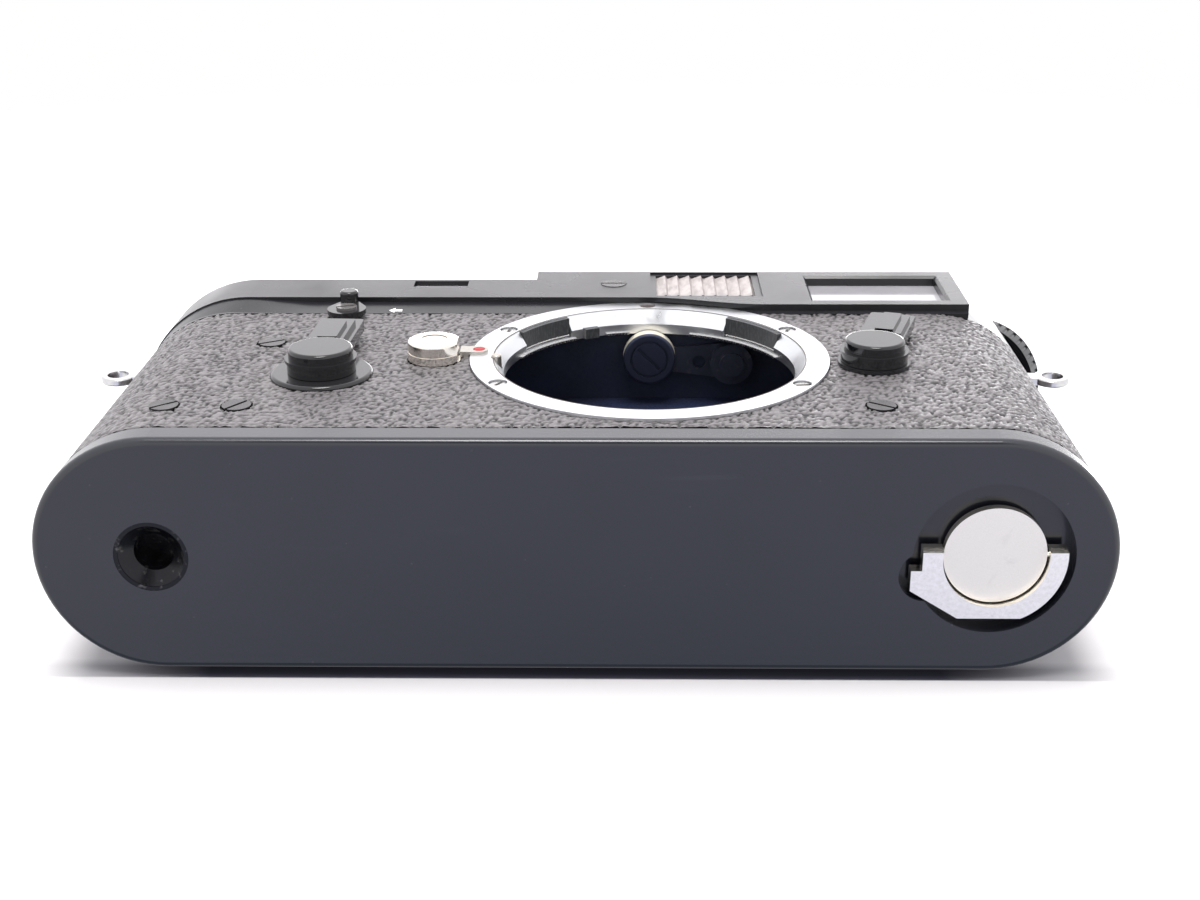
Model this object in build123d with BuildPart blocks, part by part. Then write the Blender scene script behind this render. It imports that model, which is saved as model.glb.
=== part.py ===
from build123d import *
import os
from math import cos, sin, radians, sqrt

# 35 mm rangefinder camera body without a lens, millimetres.
# +X to the right in a front view, +Y into the body, +Z up.
# The origin is the centre of the base plate's underside.

os.makedirs("parts", exist_ok=True)

# ---- driving dimensions -------------------------------------------------
half_length = 69.0        # half the length of the covered body
skin_r = 16.1             # radius of the round ends, and half the depth
end_x = half_length - skin_r
skin = 0.5                # leatherette thickness
wall = 1.6                # body casting wall
case_r = skin_r - skin
inner_r = case_r - wall
neck_r = 15.2             # casting inside the top plate's skirt

base_h = 4.0              # base plate, rim included
body_z0 = base_h + 0.25
band_z = 52.0             # top of the leatherette, foot of the top plate
overhang_z = 56.4         # underside of the stepped front, left part
overhang_low_z = 52.8     # the same, right part
flare = 0.5               # how far the skirt leans forward under the step
casting_top = 55.6
deck_z = 66.0             # left deck
block_z = 71.2            # finder housing
sheet = 0.8               # top plate sheet

front_y = -skin_r         # front of the leatherette
step_y = -17.35           # front of the stepped housing
flange_y = -16.45         # lens flange, a little proud of the leatherette
lens_x, lens_z = 9.86, 31.6
film_y = flange_y + 27.8  # film plane, at the register distance of the mount
gate_y = film_y - 1.65    # front of the film gate, back of the shutter crate
fit = 0.05                # radial running clearance
axis_y = (0, -1, 0)

step_left_x = -51.65      # centre of the wide arc at the step's left end
step_r = -step_y
block_x0, block_x1 = -7.6, 58.4

advance_x, advance_y = -48.0, 1.0
dial_x, dial_y = -27.5, 0.5
counter_x, counter_y = -59.8, -2.6
spool_x = -end_x
sprocket_x, sprocket_y = -34.5, 5.3
cassette_x = end_x
timer_x, timer_z = -34.9, 24.3
frame_lever_x, frame_lever_z = 40.9, 29.0
rewind_catch_x, rewind_catch_z = -35.5, 50.5
release_x, release_z = -20.2, 31.0
index_x, index_z = -14.1, 32.9   # red dot by the mount
pin_x, pin_z = -11.5, 30.6
lock_x = 53.1             # middle of the lock's recess
disc_x = 53.45            # base lock axis
tripod_x = -53.7
arm_x, arm_y = 22.6, -8.6  # rangefinder arm pivot
roller_x, roller_y, roller_z = 10.1, -9.6, 49.6

crank_tilt = 30.0
crank_at = (63.9, -0.5, 67.5)
crank_axis = (sin(radians(crank_tilt)), 0, cos(radians(crank_tilt)))
crank_across = (cos(radians(crank_tilt)), 0, -sin(radians(crank_tilt)))

door_x0, door_x1 = -41.0, 40.0
door_z0, door_z1 = 4.6, 46.0
hinge_y, hinge_z = 15.5, 46.6
gap = 0.2
curtain_y = gate_y - 2.05

crate_x0, crate_x1 = -27.0, 38.4
crate_z0, crate_z1 = 6.0, 54.2


# ---- shared helpers -----------------------------------------------------
def facing_front(x, z, y, lean=0.0):
    """Plane facing the viewer: local x to the right, local y up, leaning right by an angle."""
    a = radians(lean)
    return Plane(origin=(x, y, z), x_dir=(cos(a), 0, -sin(a)), z_dir=axis_y)


def level(z, x=0.0, y=0.0):
    return Plane(origin=(x, y, z))


def crank_plane(h=0.0):
    """Plane across the tilted rewind axis, h along it."""
    at = [c + h * d for c, d in zip(crank_at, crank_axis)]
    return Plane(origin=tuple(at), x_dir=crank_across, z_dir=crank_axis)


def stadium(radius, mode=Mode.ADD):
    SlotOverall(2 * (end_x + radius), 2 * radius, mode=mode)


def disc(plane, radius, height, mode=Mode.ADD, bore=0.0):
    with BuildSketch(plane) as face:
        Circle(radius)
        if bore:
            Circle(bore, mode=Mode.SUBTRACT)
    extrude(face.sketch, amount=height, mode=mode)


def block(x0, x1, y0, y1, z0, z1, mode=Mode.ADD):
    with BuildSketch(level(z0, (x0 + x1) / 2, (y0 + y1) / 2)) as face:
        Rectangle(x1 - x0, y1 - y0)
    extrude(face.sketch, amount=z1 - z0, mode=mode)


def slotted_head(plane, radius, height, slot_angle, slot_width=0.5, slot_depth=0.45):
    """Cheese head standing on the plane with a screwdriver slot across it."""
    disc(plane, radius, height)
    with BuildSketch(plane.offset(height)) as slot:
        Rectangle(2.4 * radius, slot_width, rotation=slot_angle)
    extrude(slot.sketch, amount=-slot_depth, mode=Mode.SUBTRACT)


def lug_slots():
    """Slots at both ends that the strap lugs pass through."""
    for side in (-1, 1):
        with BuildSketch(Plane(origin=(side * 64, lug_y, lug_z), x_dir=(0, 1, 0),
                               z_dir=(side, 0, 0))) as slot:
            Rectangle(lug_thick, lug_neck)
        extrude(slot.sketch, amount=8, mode=Mode.SUBTRACT)


def save(builder, name):
    builder.part.label = name
    export_step(builder.part, f"parts/{name}.step")


# ---- fasteners: places shared by the pieces they pass through ------------
screw_r = 1.9
screw_shank_r = 0.9
front_screws = [(-53.5, 12.0), (-44.0, 12.0), (-44.45, 38.0), (39.7, 12.3)]
front_screw_slots = [40, 55, 30, -35]
fascia_screw = (4.6, 63.8)
fascia_screw_r = 2.0
lug_y, lug_z = -5.5, 52.5
lug_thick, lug_neck = 1.1, 2.6
flange_screw_r = 23.45
flange_screw_angles = [30, 150.5, 209.5, 330]
flange_screw_slots = [70, 80, 60, 5]


# ---- body shell ----------------------------------------------------------
with BuildPart() as body_shell:
    with BuildSketch(level(body_z0)):
        stadium(case_r)
        stadium(inner_r, Mode.SUBTRACT)
    extrude(amount=band_z - body_z0)
    with BuildSketch(level(band_z)):
        stadium(neck_r)
        stadium(inner_r, Mode.SUBTRACT)
    extrude(amount=casting_top - band_z)
    with BuildSketch(level(casting_top - 1.2)):
        stadium(inner_r)
    extrude(amount=1.2)
    # openings for the lens, the back door and every shaft
    disc(facing_front(lens_x, lens_z, -10), 22.6, 10, Mode.SUBTRACT)
    block(door_x0 - gap, door_x1 + gap, 12, 20, body_z0 - 1, hinge_z + 1.0, Mode.SUBTRACT)
    disc(facing_front(timer_x, timer_z, -12), 2.0 + fit, 8, Mode.SUBTRACT)
    disc(facing_front(frame_lever_x, frame_lever_z, -12), 1.8 + fit, 8, Mode.SUBTRACT)
    disc(facing_front(rewind_catch_x, rewind_catch_z, -12), 1.0 + fit, 8, Mode.SUBTRACT)
    disc(facing_front(release_x, release_z, -12), 3.7 + fit, 8, Mode.SUBTRACT)
    for x, z in front_screws:
        disc(facing_front(x, z, -12), screw_shank_r, 8, Mode.SUBTRACT)
    for x, y, r in [(spool_x, 0, 2.0), (sprocket_x, sprocket_y, 1.2), (cassette_x, 0, 2.0),
                    (arm_x, arm_y, 1.6)]:
        disc(level(casting_top - 3, x, y), r + fit, 6, Mode.SUBTRACT)
    lug_slots()
    # keeper pin for the base plate's claw
    with BuildSketch(Plane.XZ.offset(-3)):
        with Locations((-65.9, 5.4)):
            Circle(0.6)
    extrude(amount=6)
    block(-66.6, -65.2, 3.0, 4.2, 4.8, 8.0)
    block(-66.6, -65.2, -4.2, -3.0, 4.8, 8.0)
    block(-67.2, -65.2, 3.0, 4.2, 7.0, 8.0)
    block(-67.2, -65.2, -4.2, -3.0, 7.0, 8.0)
save(body_shell, "body_shell")

# ---- leatherette over the casting ----------------------------------------
with BuildPart() as body_covering:
    with BuildSketch(level(body_z0)):
        stadium(skin_r)
        stadium(case_r, Mode.SUBTRACT)
    extrude(amount=band_z - body_z0)
    disc(facing_front(lens_x, lens_z, -10), 25.2, 10, Mode.SUBTRACT)
    block(door_x0 - gap, door_x1 + gap, 12, 20, body_z0 - 1, hinge_z + 1.0, Mode.SUBTRACT)
    disc(facing_front(timer_x, timer_z, -12), 2.2, 8, Mode.SUBTRACT)
    disc(facing_front(frame_lever_x, frame_lever_z, -12), 2.0, 8, Mode.SUBTRACT)
    disc(facing_front(rewind_catch_x, rewind_catch_z, -12), 1.0 + fit, 8, Mode.SUBTRACT)
    disc(facing_front(release_x, release_z, -12), 3.85, 8, Mode.SUBTRACT)
    for x, z in front_screws:
        disc(facing_front(x, z, -12), screw_r, 8, Mode.SUBTRACT)
    lug_slots()
save(body_covering, "body_covering")

# ---- shutter crate, film gate, light chamber -------------------------------
with BuildPart() as inner_frame:
    block(crate_x0, crate_x1, -12.9, gate_y, crate_z0, crate_z1)
    block(crate_x0 + 1.2, crate_x1 - 1.2, -14, gate_y - 1.2, crate_z0 + 1, crate_z1 - 1.2, Mode.SUBTRACT)
    block(-16, 36.4, gate_y - 1.8, gate_y + 0.2, 10, 51, Mode.SUBTRACT)
    disc(level(52, arm_x, arm_y), 1.6 + fit, 4, Mode.SUBTRACT)
save(inner_frame, "inner_frame")

with BuildPart() as film_gate:
    block(-26.5, 38.0, gate_y, gate_y + 1.2, 8.0, 53.0)
    for z in (lens_z - 13.4, lens_z + 13.4):
        block(-24, 36, gate_y + 1.2, film_y, z - 0.9, z + 0.9)
    for z in (lens_z - 18.6, lens_z + 18.6):
        block(-24, 36, gate_y + 1.2, film_y, z - 0.8, z + 0.8)
    block(lens_x - 18, lens_x + 18, gate_y - 1, film_y + 1, lens_z - 12, lens_z + 12, Mode.SUBTRACT)
save(film_gate, "film_gate")

with BuildPart() as light_chamber:
    block(crate_x0 + 1.3, crate_x1 - 1.3, -2.2, -1.0, crate_z0 + 1.1, crate_z1 - 1.3)
    block(lens_x - 21, lens_x + 20.4, -1.0, curtain_y - 0.35, lens_z - 15, lens_z + 15)
    block(lens_x - 19.4, lens_x + 19, -3, curtain_y, lens_z - 13.4, lens_z + 13.4, Mode.SUBTRACT)
save(light_chamber, "light_chamber")

with BuildPart() as shutter_curtain:
    block(-18.6, 34.4, curtain_y, curtain_y + 0.2, lens_z - 14.5, lens_z + 14.5)
save(shutter_curtain, "shutter_curtain")

with BuildPart() as shutter_rollers:
    for x, y, r in [(-18.6, curtain_y - 3.85, 3.8), (34.4, curtain_y - 2.45, 2.4), (34.4, -4.9, 2.4)]:
        disc(level(8.0, x, y), r, 43)
        disc(level(7.0, x, y), 1.0, 1.0)
save(shutter_rollers, "shutter_rollers")

# ---- lens mount ------------------------------------------------------------
flange_r = 25.1
face_r = 21.8             # inner edge of the flat face
throat_r = 20.4
bevel_deep = 2.0
tube_r = 22.55
tube_back_y = -13.0
slots = [(124, 150.5), (27, 56.5)]   # bayonet slots, degrees round the lens axis


def round_lens(angle, radius):
    return lens_x + radius * cos(radians(angle)), lens_z + radius * sin(radians(angle))


def arc_wall(r_in, r_out, a0, a1, y0, y1, mode=Mode.ADD):
    """Curved wall about the lens axis between two angles, from y0 forward to y1."""
    mid = (a0 + a1) / 2
    with BuildSketch(facing_front(lens_x, lens_z, y0)) as face:
        with BuildLine():
            ends = [(r * cos(radians(a)), r * sin(radians(a))) for r, a in
                    ((r_in, a0), (r_in, mid), (r_in, a1), (r_out, a1), (r_out, mid), (r_out, a0))]
            ThreePointArc(ends[0], ends[1], ends[2])
            Line(ends[2], ends[3])
            ThreePointArc(ends[3], ends[4], ends[5])
            Line(ends[5], ends[0])
        make_face()
    extrude(face.sketch, amount=y0 - y1, mode=mode)


with BuildPart() as mount_ring:
    disc(facing_front(lens_x, lens_z, -case_r), flange_r, -flange_y - case_r)
    disc(facing_front(lens_x, lens_z, tube_back_y), tube_r, case_r + tube_back_y)
    disc(facing_front(lens_x, lens_z, -10), throat_r, 12, Mode.SUBTRACT)
    # polished bevel down into the throat
    with BuildSketch(Plane(origin=(lens_x, flange_y, lens_z), x_dir=(1, 0, 0), z_dir=(0, 0, 1))):
        with BuildLine():
            Polyline((throat_r - 0.1, -0.1), (face_r, -0.1), (face_r, 0.08), (face_r - 0.1, 0.08),
                     (throat_r, bevel_deep), (throat_r - 0.1, bevel_deep), close=True)
        make_face()
    revolve(axis=Axis((lens_x, flange_y, lens_z), (0, 1, 0)), mode=Mode.SUBTRACT)
    for a0, a1 in slots:
        arc_wall(throat_r - 1, face_r - 0.1, a0, a1, -13.5, flange_y - 1, Mode.SUBTRACT)
    for a in flange_screw_angles:
        x, z = round_lens(a, flange_screw_r)
        disc(facing_front(x, z, -case_r), 1.3, 3, Mode.SUBTRACT)
    x, z = round_lens(90, flange_screw_r)
    disc(facing_front(x, z, -case_r), 1.2, 3, Mode.SUBTRACT)
    disc(facing_front(pin_x, pin_z, -10), 0.78, 12, Mode.SUBTRACT)
save(mount_ring, "mount_ring")

with BuildPart() as mount_screws:
    for a, slot in zip(flange_screw_angles, flange_screw_slots):
        x, z = round_lens(a, flange_screw_r)
        slotted_head(facing_front(x, z, -case_r), 1.1, -flange_y - case_r - 0.25, slot, 0.5, 0.45)
save(mount_screws, "mount_screws")

with BuildPart() as mount_seal:
    x, z = round_lens(90, flange_screw_r)
    disc(facing_front(x, z, -case_r), 1.15, -flange_y - case_r - 0.3)
save(mount_seal, "mount_seal")

with BuildPart() as mount_baffle:
    for a0, a1 in slots:
        arc_wall(throat_r + 0.55, face_r - 0.15, a0 + 0.2, a1 - 0.2, -13.5, flange_y + 0.15)
    arc_wall(throat_r - 1.0, throat_r, 112, 118.5, tube_back_y - 0.1, -14.6)
save(mount_baffle, "mount_baffle")

with BuildPart() as bayonet_spring:
    for a0, a1 in ((122, 156), (98, 108), (24, 72)):
        arc_wall(throat_r - 0.4, throat_r, a0, a1, tube_back_y, tube_back_y - 0.3)
save(bayonet_spring, "bayonet_spring")

# ---- lens release ------------------------------------------------------------
with BuildPart() as lens_index_tongue:
    with BuildSketch(facing_front(0, 0, flange_y)):
        with BuildLine():
            Polyline((-16.7, index_z + 1.3), (-16.7, index_z - 1.3), (index_x, index_z - 1.3))
            ThreePointArc((index_x, index_z - 1.3), (index_x + 1.3, index_z), (index_x, index_z + 1.3))
            Line((index_x, index_z + 1.3), (-16.7, index_z + 1.3))
        make_face()
    extrude(amount=0.4)
    block(-16.7, -15.5, flange_y, front_y, index_z - 1.3, index_z + 1.3)
    disc(facing_front(index_x, index_z, flange_y - 0.4), 0.85, -0.15, Mode.SUBTRACT)
save(lens_index_tongue, "lens_index_tongue")

with BuildPart() as lens_release_button:
    disc(facing_front(release_x, release_z, -15.8), 3.7, 3.1)
    fillet(lens_release_button.edges().sort_by(Axis.Y)[0], 0.35)
    block(-16.85, -15, -19, front_y + fit, 26, 36, Mode.SUBTRACT)
    with BuildSketch(facing_front(release_x, release_z, -17.2)):
        Circle(4)
        Circle(3.58, mode=Mode.SUBTRACT)
    extrude(amount=0.25, mode=Mode.SUBTRACT)
    disc(facing_front(release_x, release_z, -12.8), 1.2, 3.0)
save(lens_release_button, "lens_release_button")

with BuildPart() as lens_lock_pin:
    disc(facing_front(pin_x, pin_z, -12.8), 0.7, -flange_y - 12.4)
    fillet(lens_lock_pin.edges().sort_by(Axis.Y)[0], 0.25)
    with BuildSketch(facing_front(0, 0, -12.1)):
        with Locations((pin_x, pin_z)):
            Circle(1.3)
        with Locations((release_x, release_z)):
            Circle(1.8)
        make_hull()
    extrude(amount=0.7)
save(lens_lock_pin, "lens_lock_pin")

# ---- front levers ------------------------------------------------------------


def lever_arm(at, lean, half_width, length, thick, low_pad, high_pad):
    """Arm of a front lever with its stepped finger grip; pads are (left, right, start, end)."""
    x, z, y_back = at
    plane = facing_front(x, z, y_back, lean)
    with BuildSketch(plane) as arm:
        with Locations((0, length / 2)):
            RectangleRounded(2 * half_width, length, 0.6)
    extrude(arm.sketch, amount=thick)
    top = thick
    for (u0, u1, v0, v1), rise in ((low_pad, 0.65), (high_pad, 0.5)):
        with BuildSketch(plane.offset(top)) as pad:
            with Locations(((u0 + u1) / 2, (v0 + v1) / 2)):
                RectangleRounded(u1 - u0, v1 - v0, 0.25)
        extrude(pad.sketch, amount=rise)
        top += rise


with BuildPart() as self_timer_flange:
    disc(facing_front(timer_x, timer_z, front_y), 7.0, 0.55, bore=2.0 + fit)
    front_edges = self_timer_flange.edges().filter_by(GeomType.CIRCLE).group_by(Axis.Y)[0]
    fillet(front_edges.sort_by(SortBy.RADIUS)[-1], 0.5)
save(self_timer_flange, "self_timer_flange")

with BuildPart() as self_timer_lever:
    lever_arm((timer_x, timer_z, -17.3), 2.4, 2.95, 16.2, 1.6,
              (-2.9, 2.1, 4.4, 14.2), (-1.45, 1.3, 4.5, 12.0))
    disc(facing_front(timer_x, timer_z, -18.7), 4.5, 3, Mode.SUBTRACT)
    disc(facing_front(timer_x, timer_z, front_y - 0.6), 4.65, 1.55)
    disc(facing_front(timer_x, timer_z, -18.25), 4.9, 0.45)
    disc(facing_front(timer_x, timer_z, -11.0), 2.0, 5.8)
save(self_timer_lever, "self_timer_lever")

with BuildPart() as self_timer_cap:
    disc(facing_front(timer_x, timer_z, -18.7), 4.4, 1.4)
    fillet(self_timer_cap.edges().sort_by(Axis.Y)[0], 0.45)
save(self_timer_cap, "self_timer_cap")

with BuildPart() as frame_lever_collar:
    disc(facing_front(frame_lever_x, frame_lever_z, front_y), 5.0, 0.5, bore=1.8 + fit)
save(frame_lever_collar, "frame_lever_collar")

with BuildPart() as frame_selector_lever:
    lever_arm((frame_lever_x, frame_lever_z, -17.1), 17.5, 3.25, 15.7, 1.5,
              (-1.95, 2.75, 4.6, 13.7), (-0.9, 1.65, 4.7, 12.6))
    disc(facing_front(frame_lever_x, frame_lever_z, -18.55), 4.2, 3, Mode.SUBTRACT)
    disc(facing_front(frame_lever_x, frame_lever_z, front_y - 0.55), 4.6, 1.25)
    disc(facing_front(frame_lever_x, frame_lever_z, -17.9), 4.75, 0.35)
    disc(facing_front(frame_lever_x, frame_lever_z, -18.25), 4.2, 0.3)
    disc(facing_front(frame_lever_x, frame_lever_z, -13.0), 1.8, 3.7)
save(frame_selector_lever, "frame_selector_lever")

with BuildPart() as frame_lever_cap:
    disc(facing_front(frame_lever_x, frame_lever_z, -18.55), 4.1, 1.2)
    fillet(frame_lever_cap.edges().sort_by(Axis.Y)[0], 0.4)
save(frame_lever_cap, "frame_lever_cap")

catch_y = front_y - flare - fit
with BuildPart() as rewind_release_lever:
    with BuildSketch(facing_front(rewind_catch_x, rewind_catch_z, catch_y)):
        Circle(2.9)
        with Locations((0, 3.0)):
            Circle(1.38)
        make_hull()
    extrude(amount=0.75)
    disc(facing_front(rewind_catch_x, rewind_catch_z + 3.0, catch_y - 0.75), 1.38, 1.9)
    fillet(rewind_release_lever.edges().sort_by(Axis.Y)[0], 0.4)
    disc(facing_front(rewind_catch_x, rewind_catch_z, -14.2), 1.0, -catch_y - 14.0)
save(rewind_release_lever, "rewind_release_lever")

with BuildPart() as rewind_release_screw:
    slotted_head(facing_front(rewind_catch_x, rewind_catch_z, catch_y - 0.75), 1.55, 0.35, 20, 0.45, 0.25)
save(rewind_release_screw, "rewind_release_screw")

with BuildPart() as body_screws:
    for (x, z), slot in zip(front_screws, front_screw_slots):
        slotted_head(facing_front(x, z, -case_r), screw_r, 0.6, slot, 0.45, 0.35)
        disc(facing_front(x, z, -13.4), screw_shank_r, 2.2)
    slotted_head(facing_front(*fascia_screw, step_y + 0.4), fascia_screw_r, 0.48, 0, 0.4, 0.3)
    disc(facing_front(*fascia_screw, step_y + 2.0), screw_shank_r, 1.6)
save(body_screws, "body_screws")

# ---- top plate -----------------------------------------------------------------
slope_at = [c - 2.4 * d for c, d in zip(crank_at, crank_axis)]
scoop_r = 10.2
top_round = 0.7


def top_solid(inset):
    """Deck, stepped front, apron and finder housing, each side moved in by the inset."""
    front, right, back = step_y + inset, block_x1 - inset, skin_r - inset
    high, low = overhang_z + inset, overhang_low_z + inset
    with BuildPart() as solid:
        with BuildSketch(level(band_z)):
            stadium(skin_r - inset)
        extrude(amount=deck_z - inset - band_z)
        # the front steps forward and runs out round the left end
        with BuildSketch(level(high)):
            with BuildLine():
                r = step_r - inset
                start = (step_left_x - r * cos(radians(12)), -r * sin(radians(12)) + 0.1)
                ThreePointArc(start, (step_left_x - r * sin(radians(40)), -r * cos(radians(40))),
                              (step_left_x, front))
                Polyline((step_left_x, front), (right, front), (right, -8), (-54, -8), start)
            make_face()
        extrude(amount=deck_z - inset - high)
        # apron that hangs lower at the right, joined by an S curve
        with BuildSketch(facing_front(0, 0, -9)):
            with BuildLine():
                Polyline((9 + inset, high), (9 + inset, high + 3), (right, high + 3), (right, low),
                         (28 + inset, low))
                Spline((28 + inset, low), (9 + inset, high), tangents=((-1, 0), (-1, 0)))
            make_face()
        extrude(amount=-front - 9)
        with BuildSketch(level(high + 1)):
            with BuildLine():
                left = block_x0 + inset
                Polyline((52.5, back), (left, back), (left, front), (right, front), (right, back - 1.7))
                ThreePointArc((right, back - 1.7), (55.9 - 0.3 * inset, back - 0.5), (52.5, back))
            make_face()
        extrude(amount=block_z - inset - high - 1)
        fillet(solid.edges().group_by(Axis.Z)[-1], top_round - 0.5 * inset)
    return solid.part


def clear_the_crank(inset):
    """Cut the sloping shoulder and the round scoop that the tilted rewind knob sits in."""
    at = [c - inset * d for c, d in zip(slope_at, crank_axis)]
    seat = Plane(origin=tuple(at), x_dir=crank_across, z_dir=crank_axis)
    with BuildSketch(seat) as shoulder:
        with Locations((9.3, 0)):
            Rectangle(21.6, 60)
    extrude(shoulder.sketch, amount=20, mode=Mode.SUBTRACT)
    disc(seat, scoop_r + inset, 20, Mode.SUBTRACT)


def flare_face(top, lean):
    """Section of the leaning skirt, from the leatherette up to the height where it is upright again."""
    with BuildLine() as section:
        Polyline((front_y + 1.5, band_z), (front_y, band_z), (front_y - lean, top),
                 (front_y - lean, overhang_z + 0.4), (front_y + 1.5, overhang_z + 0.4), close=True)
    make_face(section.edges())


top_outside = top_solid(0.0)
top_inside = top_solid(sheet)

with BuildPart() as skirt_flare:
    across = Plane(origin=(-40, 0, 0), x_dir=(0, 1, 0), z_dir=(1, 0, 0))
    with BuildSketch(across):
        flare_face(overhang_z, flare)
    extrude(amount=54)
    with BuildSketch(across.offset(54)):
        flare_face(overhang_low_z, flare / 2)
    extrude(amount=block_x1 - 0.3 - 14)

# at the left end the step fades into a leaning wall
with BuildPart() as left_fade:
    fade_x = -40.0
    corner = (-63.0, -2.0)
    tuck = 0.15       # the outline starts this far inside the band and ends as far inside the step
    end = (-half_length + tuck, 0)
    with BuildSketch(level(band_z)):
        with BuildLine():
            r = skin_r - tuck
            ThreePointArc(end, (-end_x - r * cos(radians(45)), -r * sin(radians(45))), (-end_x, -r))
            Spline((-end_x, -r), (fade_x, front_y), tangents=((1, 0), (1, 0)))
            Polyline((fade_x, front_y), (fade_x, front_y + 1.5), corner, end)
        make_face()
    with BuildSketch(level(overhang_z + 0.4)):
        with BuildLine():
            r = step_r - tuck
            far = (step_left_x - r * cos(radians(45)), -r * sin(radians(45)))
            ThreePointArc(end, far, (step_left_x, -r))
            Spline((step_left_x, -r), (fade_x, front_y - flare), tangents=((1, 0), (1, 0)))
            Polyline((fade_x, front_y - flare), (fade_x, front_y + 1.5), corner, end)
        make_face()
    loft(ruled=True)

with BuildPart() as top_cavity:
    add(top_inside)
    clear_the_crank(sheet)
    with BuildSketch(level(band_z - 1)):
        stadium(skin_r - sheet)
    extrude(amount=1.2)

with BuildPart() as top_plate:
    add(top_outside)
    add(skirt_flare.part)
    add(left_fade.part)
    clear_the_crank(0.0)
    add(top_cavity.part, mode=Mode.SUBTRACT)
    # release collar
    disc(level(deck_z - 0.1, advance_x, advance_y), 3.5, 3.1)
    disc(level(deck_z - 3, advance_x, advance_y), 2.7 + fit, 8, Mode.SUBTRACT)
    disc(level(deck_z - 3, dial_x, dial_y), 1.5 + fit, 8, Mode.SUBTRACT)
    disc(level(deck_z - 3, counter_x - 1.6, counter_y), 2.3, 8, Mode.SUBTRACT)
    disc(crank_plane(-8.0), 2.0 + fit, 10, Mode.SUBTRACT)
    disc(facing_front(lens_x, lens_z, -12), flange_r + 0.1, 4.62, Mode.SUBTRACT)
    disc(facing_front(rewind_catch_x, rewind_catch_z, -12), 1.0 + fit, 5.0, Mode.SUBTRACT)
    disc(facing_front(*fascia_screw, -12), screw_shank_r, 8, Mode.SUBTRACT)
    disc(facing_front(*fascia_screw, step_y + 0.4), fascia_screw_r + fit, 2, Mode.SUBTRACT)
    # finder windows
    block(-26.8, -18.3, -20, -14, 61.9, 65.2, Mode.SUBTRACT)
    block(11.3, 26.5, -20, -14, 58.2, 69.2, Mode.SUBTRACT)
    block(10.4, 27.6, -20, step_y + 0.3, 57.0, 70.1, Mode.SUBTRACT)
    block(34.3, 56.4, -20, -14, 54.4, 69.4, Mode.SUBTRACT)
    # eyepiece and flash sockets at the back
    disc(facing_front(46.5, 62.6, 20), 5.0, 8, Mode.SUBTRACT)
    for x in (14.0, 22.0):
        disc(facing_front(x, 60.6, 20), 2.0, 8, Mode.SUBTRACT)
    lug_slots()
save(top_plate, "top_plate")

view_x, view_z = 45.35, 61.6
view_half_w, view_half_h = 10.2, 6.4
with BuildPart() as viewfinder_frame:
    block(34.3, 56.4, step_y, -14.9, 54.4, 69.4)
    with BuildSketch(facing_front(view_x, view_z, step_y)):
        Rectangle(2 * view_half_w + 0.8, 2 * view_half_h + 0.8)
    extrude(amount=-0.4, taper=45, mode=Mode.SUBTRACT)
    block(view_x - view_half_w, view_x + view_half_w, -18, -14, view_z - view_half_h,
          view_z + view_half_h, Mode.SUBTRACT)
    # clear of the casting's upper edge
    block(34, 57, -neck_r - fit, -14, 54, casting_top + fit, Mode.SUBTRACT)
save(viewfinder_frame, "viewfinder_frame")

with BuildPart() as viewfinder_glass:
    block(view_x - view_half_w, view_x + view_half_w, -15.75, -15.3, view_z - view_half_h,
          view_z + view_half_h)
save(viewfinder_glass, "viewfinder_glass")

with BuildPart() as illumination_window:
    block(11.3, 26.5, -16.6, -15.6, 58.2, 69.2)
    for i in range(8):
        x = 11.3 + 1.9 * (i + 0.5)
        with BuildSketch(level(58.3, x, -16.6)):
            with BuildLine():
                Polyline((-0.9, 0), (0.55, -0.55), (0.9, 0), close=True)
            make_face()
        extrude(amount=10.8)
save(illumination_window, "illumination_window")

with BuildPart() as rangefinder_window:
    block(-27.1, -18.0, step_y + sheet, step_y + sheet + 0.4, 61.4, 65.15)
save(rangefinder_window, "rangefinder_window")

with BuildPart() as finder_block:
    block(32.0, 48.8, -14.6, 12.0, 57.0, 69.6)
    block(-27.0, 32.0, -13.5, -7.5, 58.2, 64.6)
save(finder_block, "finder_block")

with BuildPart() as eyepiece_ring:
    disc(facing_front(46.5, 62.6, 17.6), 6.6, 1.5, bore=4.0)
    fillet(eyepiece_ring.edges().filter_by(GeomType.CIRCLE).sort_by(Axis.Y)[-1], 0.3)
    disc(facing_front(46.5, 62.6, 16.1), 5.0, 1.6, bore=4.0)
save(eyepiece_ring, "eyepiece_ring")

with BuildPart() as eyepiece_glass:
    disc(facing_front(46.5, 62.6, 16.0), 4.0, 0.8)
save(eyepiece_glass, "eyepiece_glass")

with BuildPart() as sync_sockets:
    for x in (14.0, 22.0):
        disc(facing_front(x, 60.6, 16.8), 2.6, 0.7, bore=1.55)
        disc(facing_front(x, 60.6, 16.1), 2.0, 2.4, bore=1.55)
        disc(facing_front(x, 60.6, 14.2), 1.55, 0.5)
        disc(facing_front(x, 60.6, 16.3), 0.5, 2.1)
save(sync_sockets, "sync_sockets")

with BuildPart() as counter_window:
    disc(level(deck_z - 0.9, counter_x - 1.6, counter_y), 2.3, 1.0)
    fillet(counter_window.edges().sort_by(Axis.Z)[-1], 0.3)
save(counter_window, "counter_window")

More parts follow.
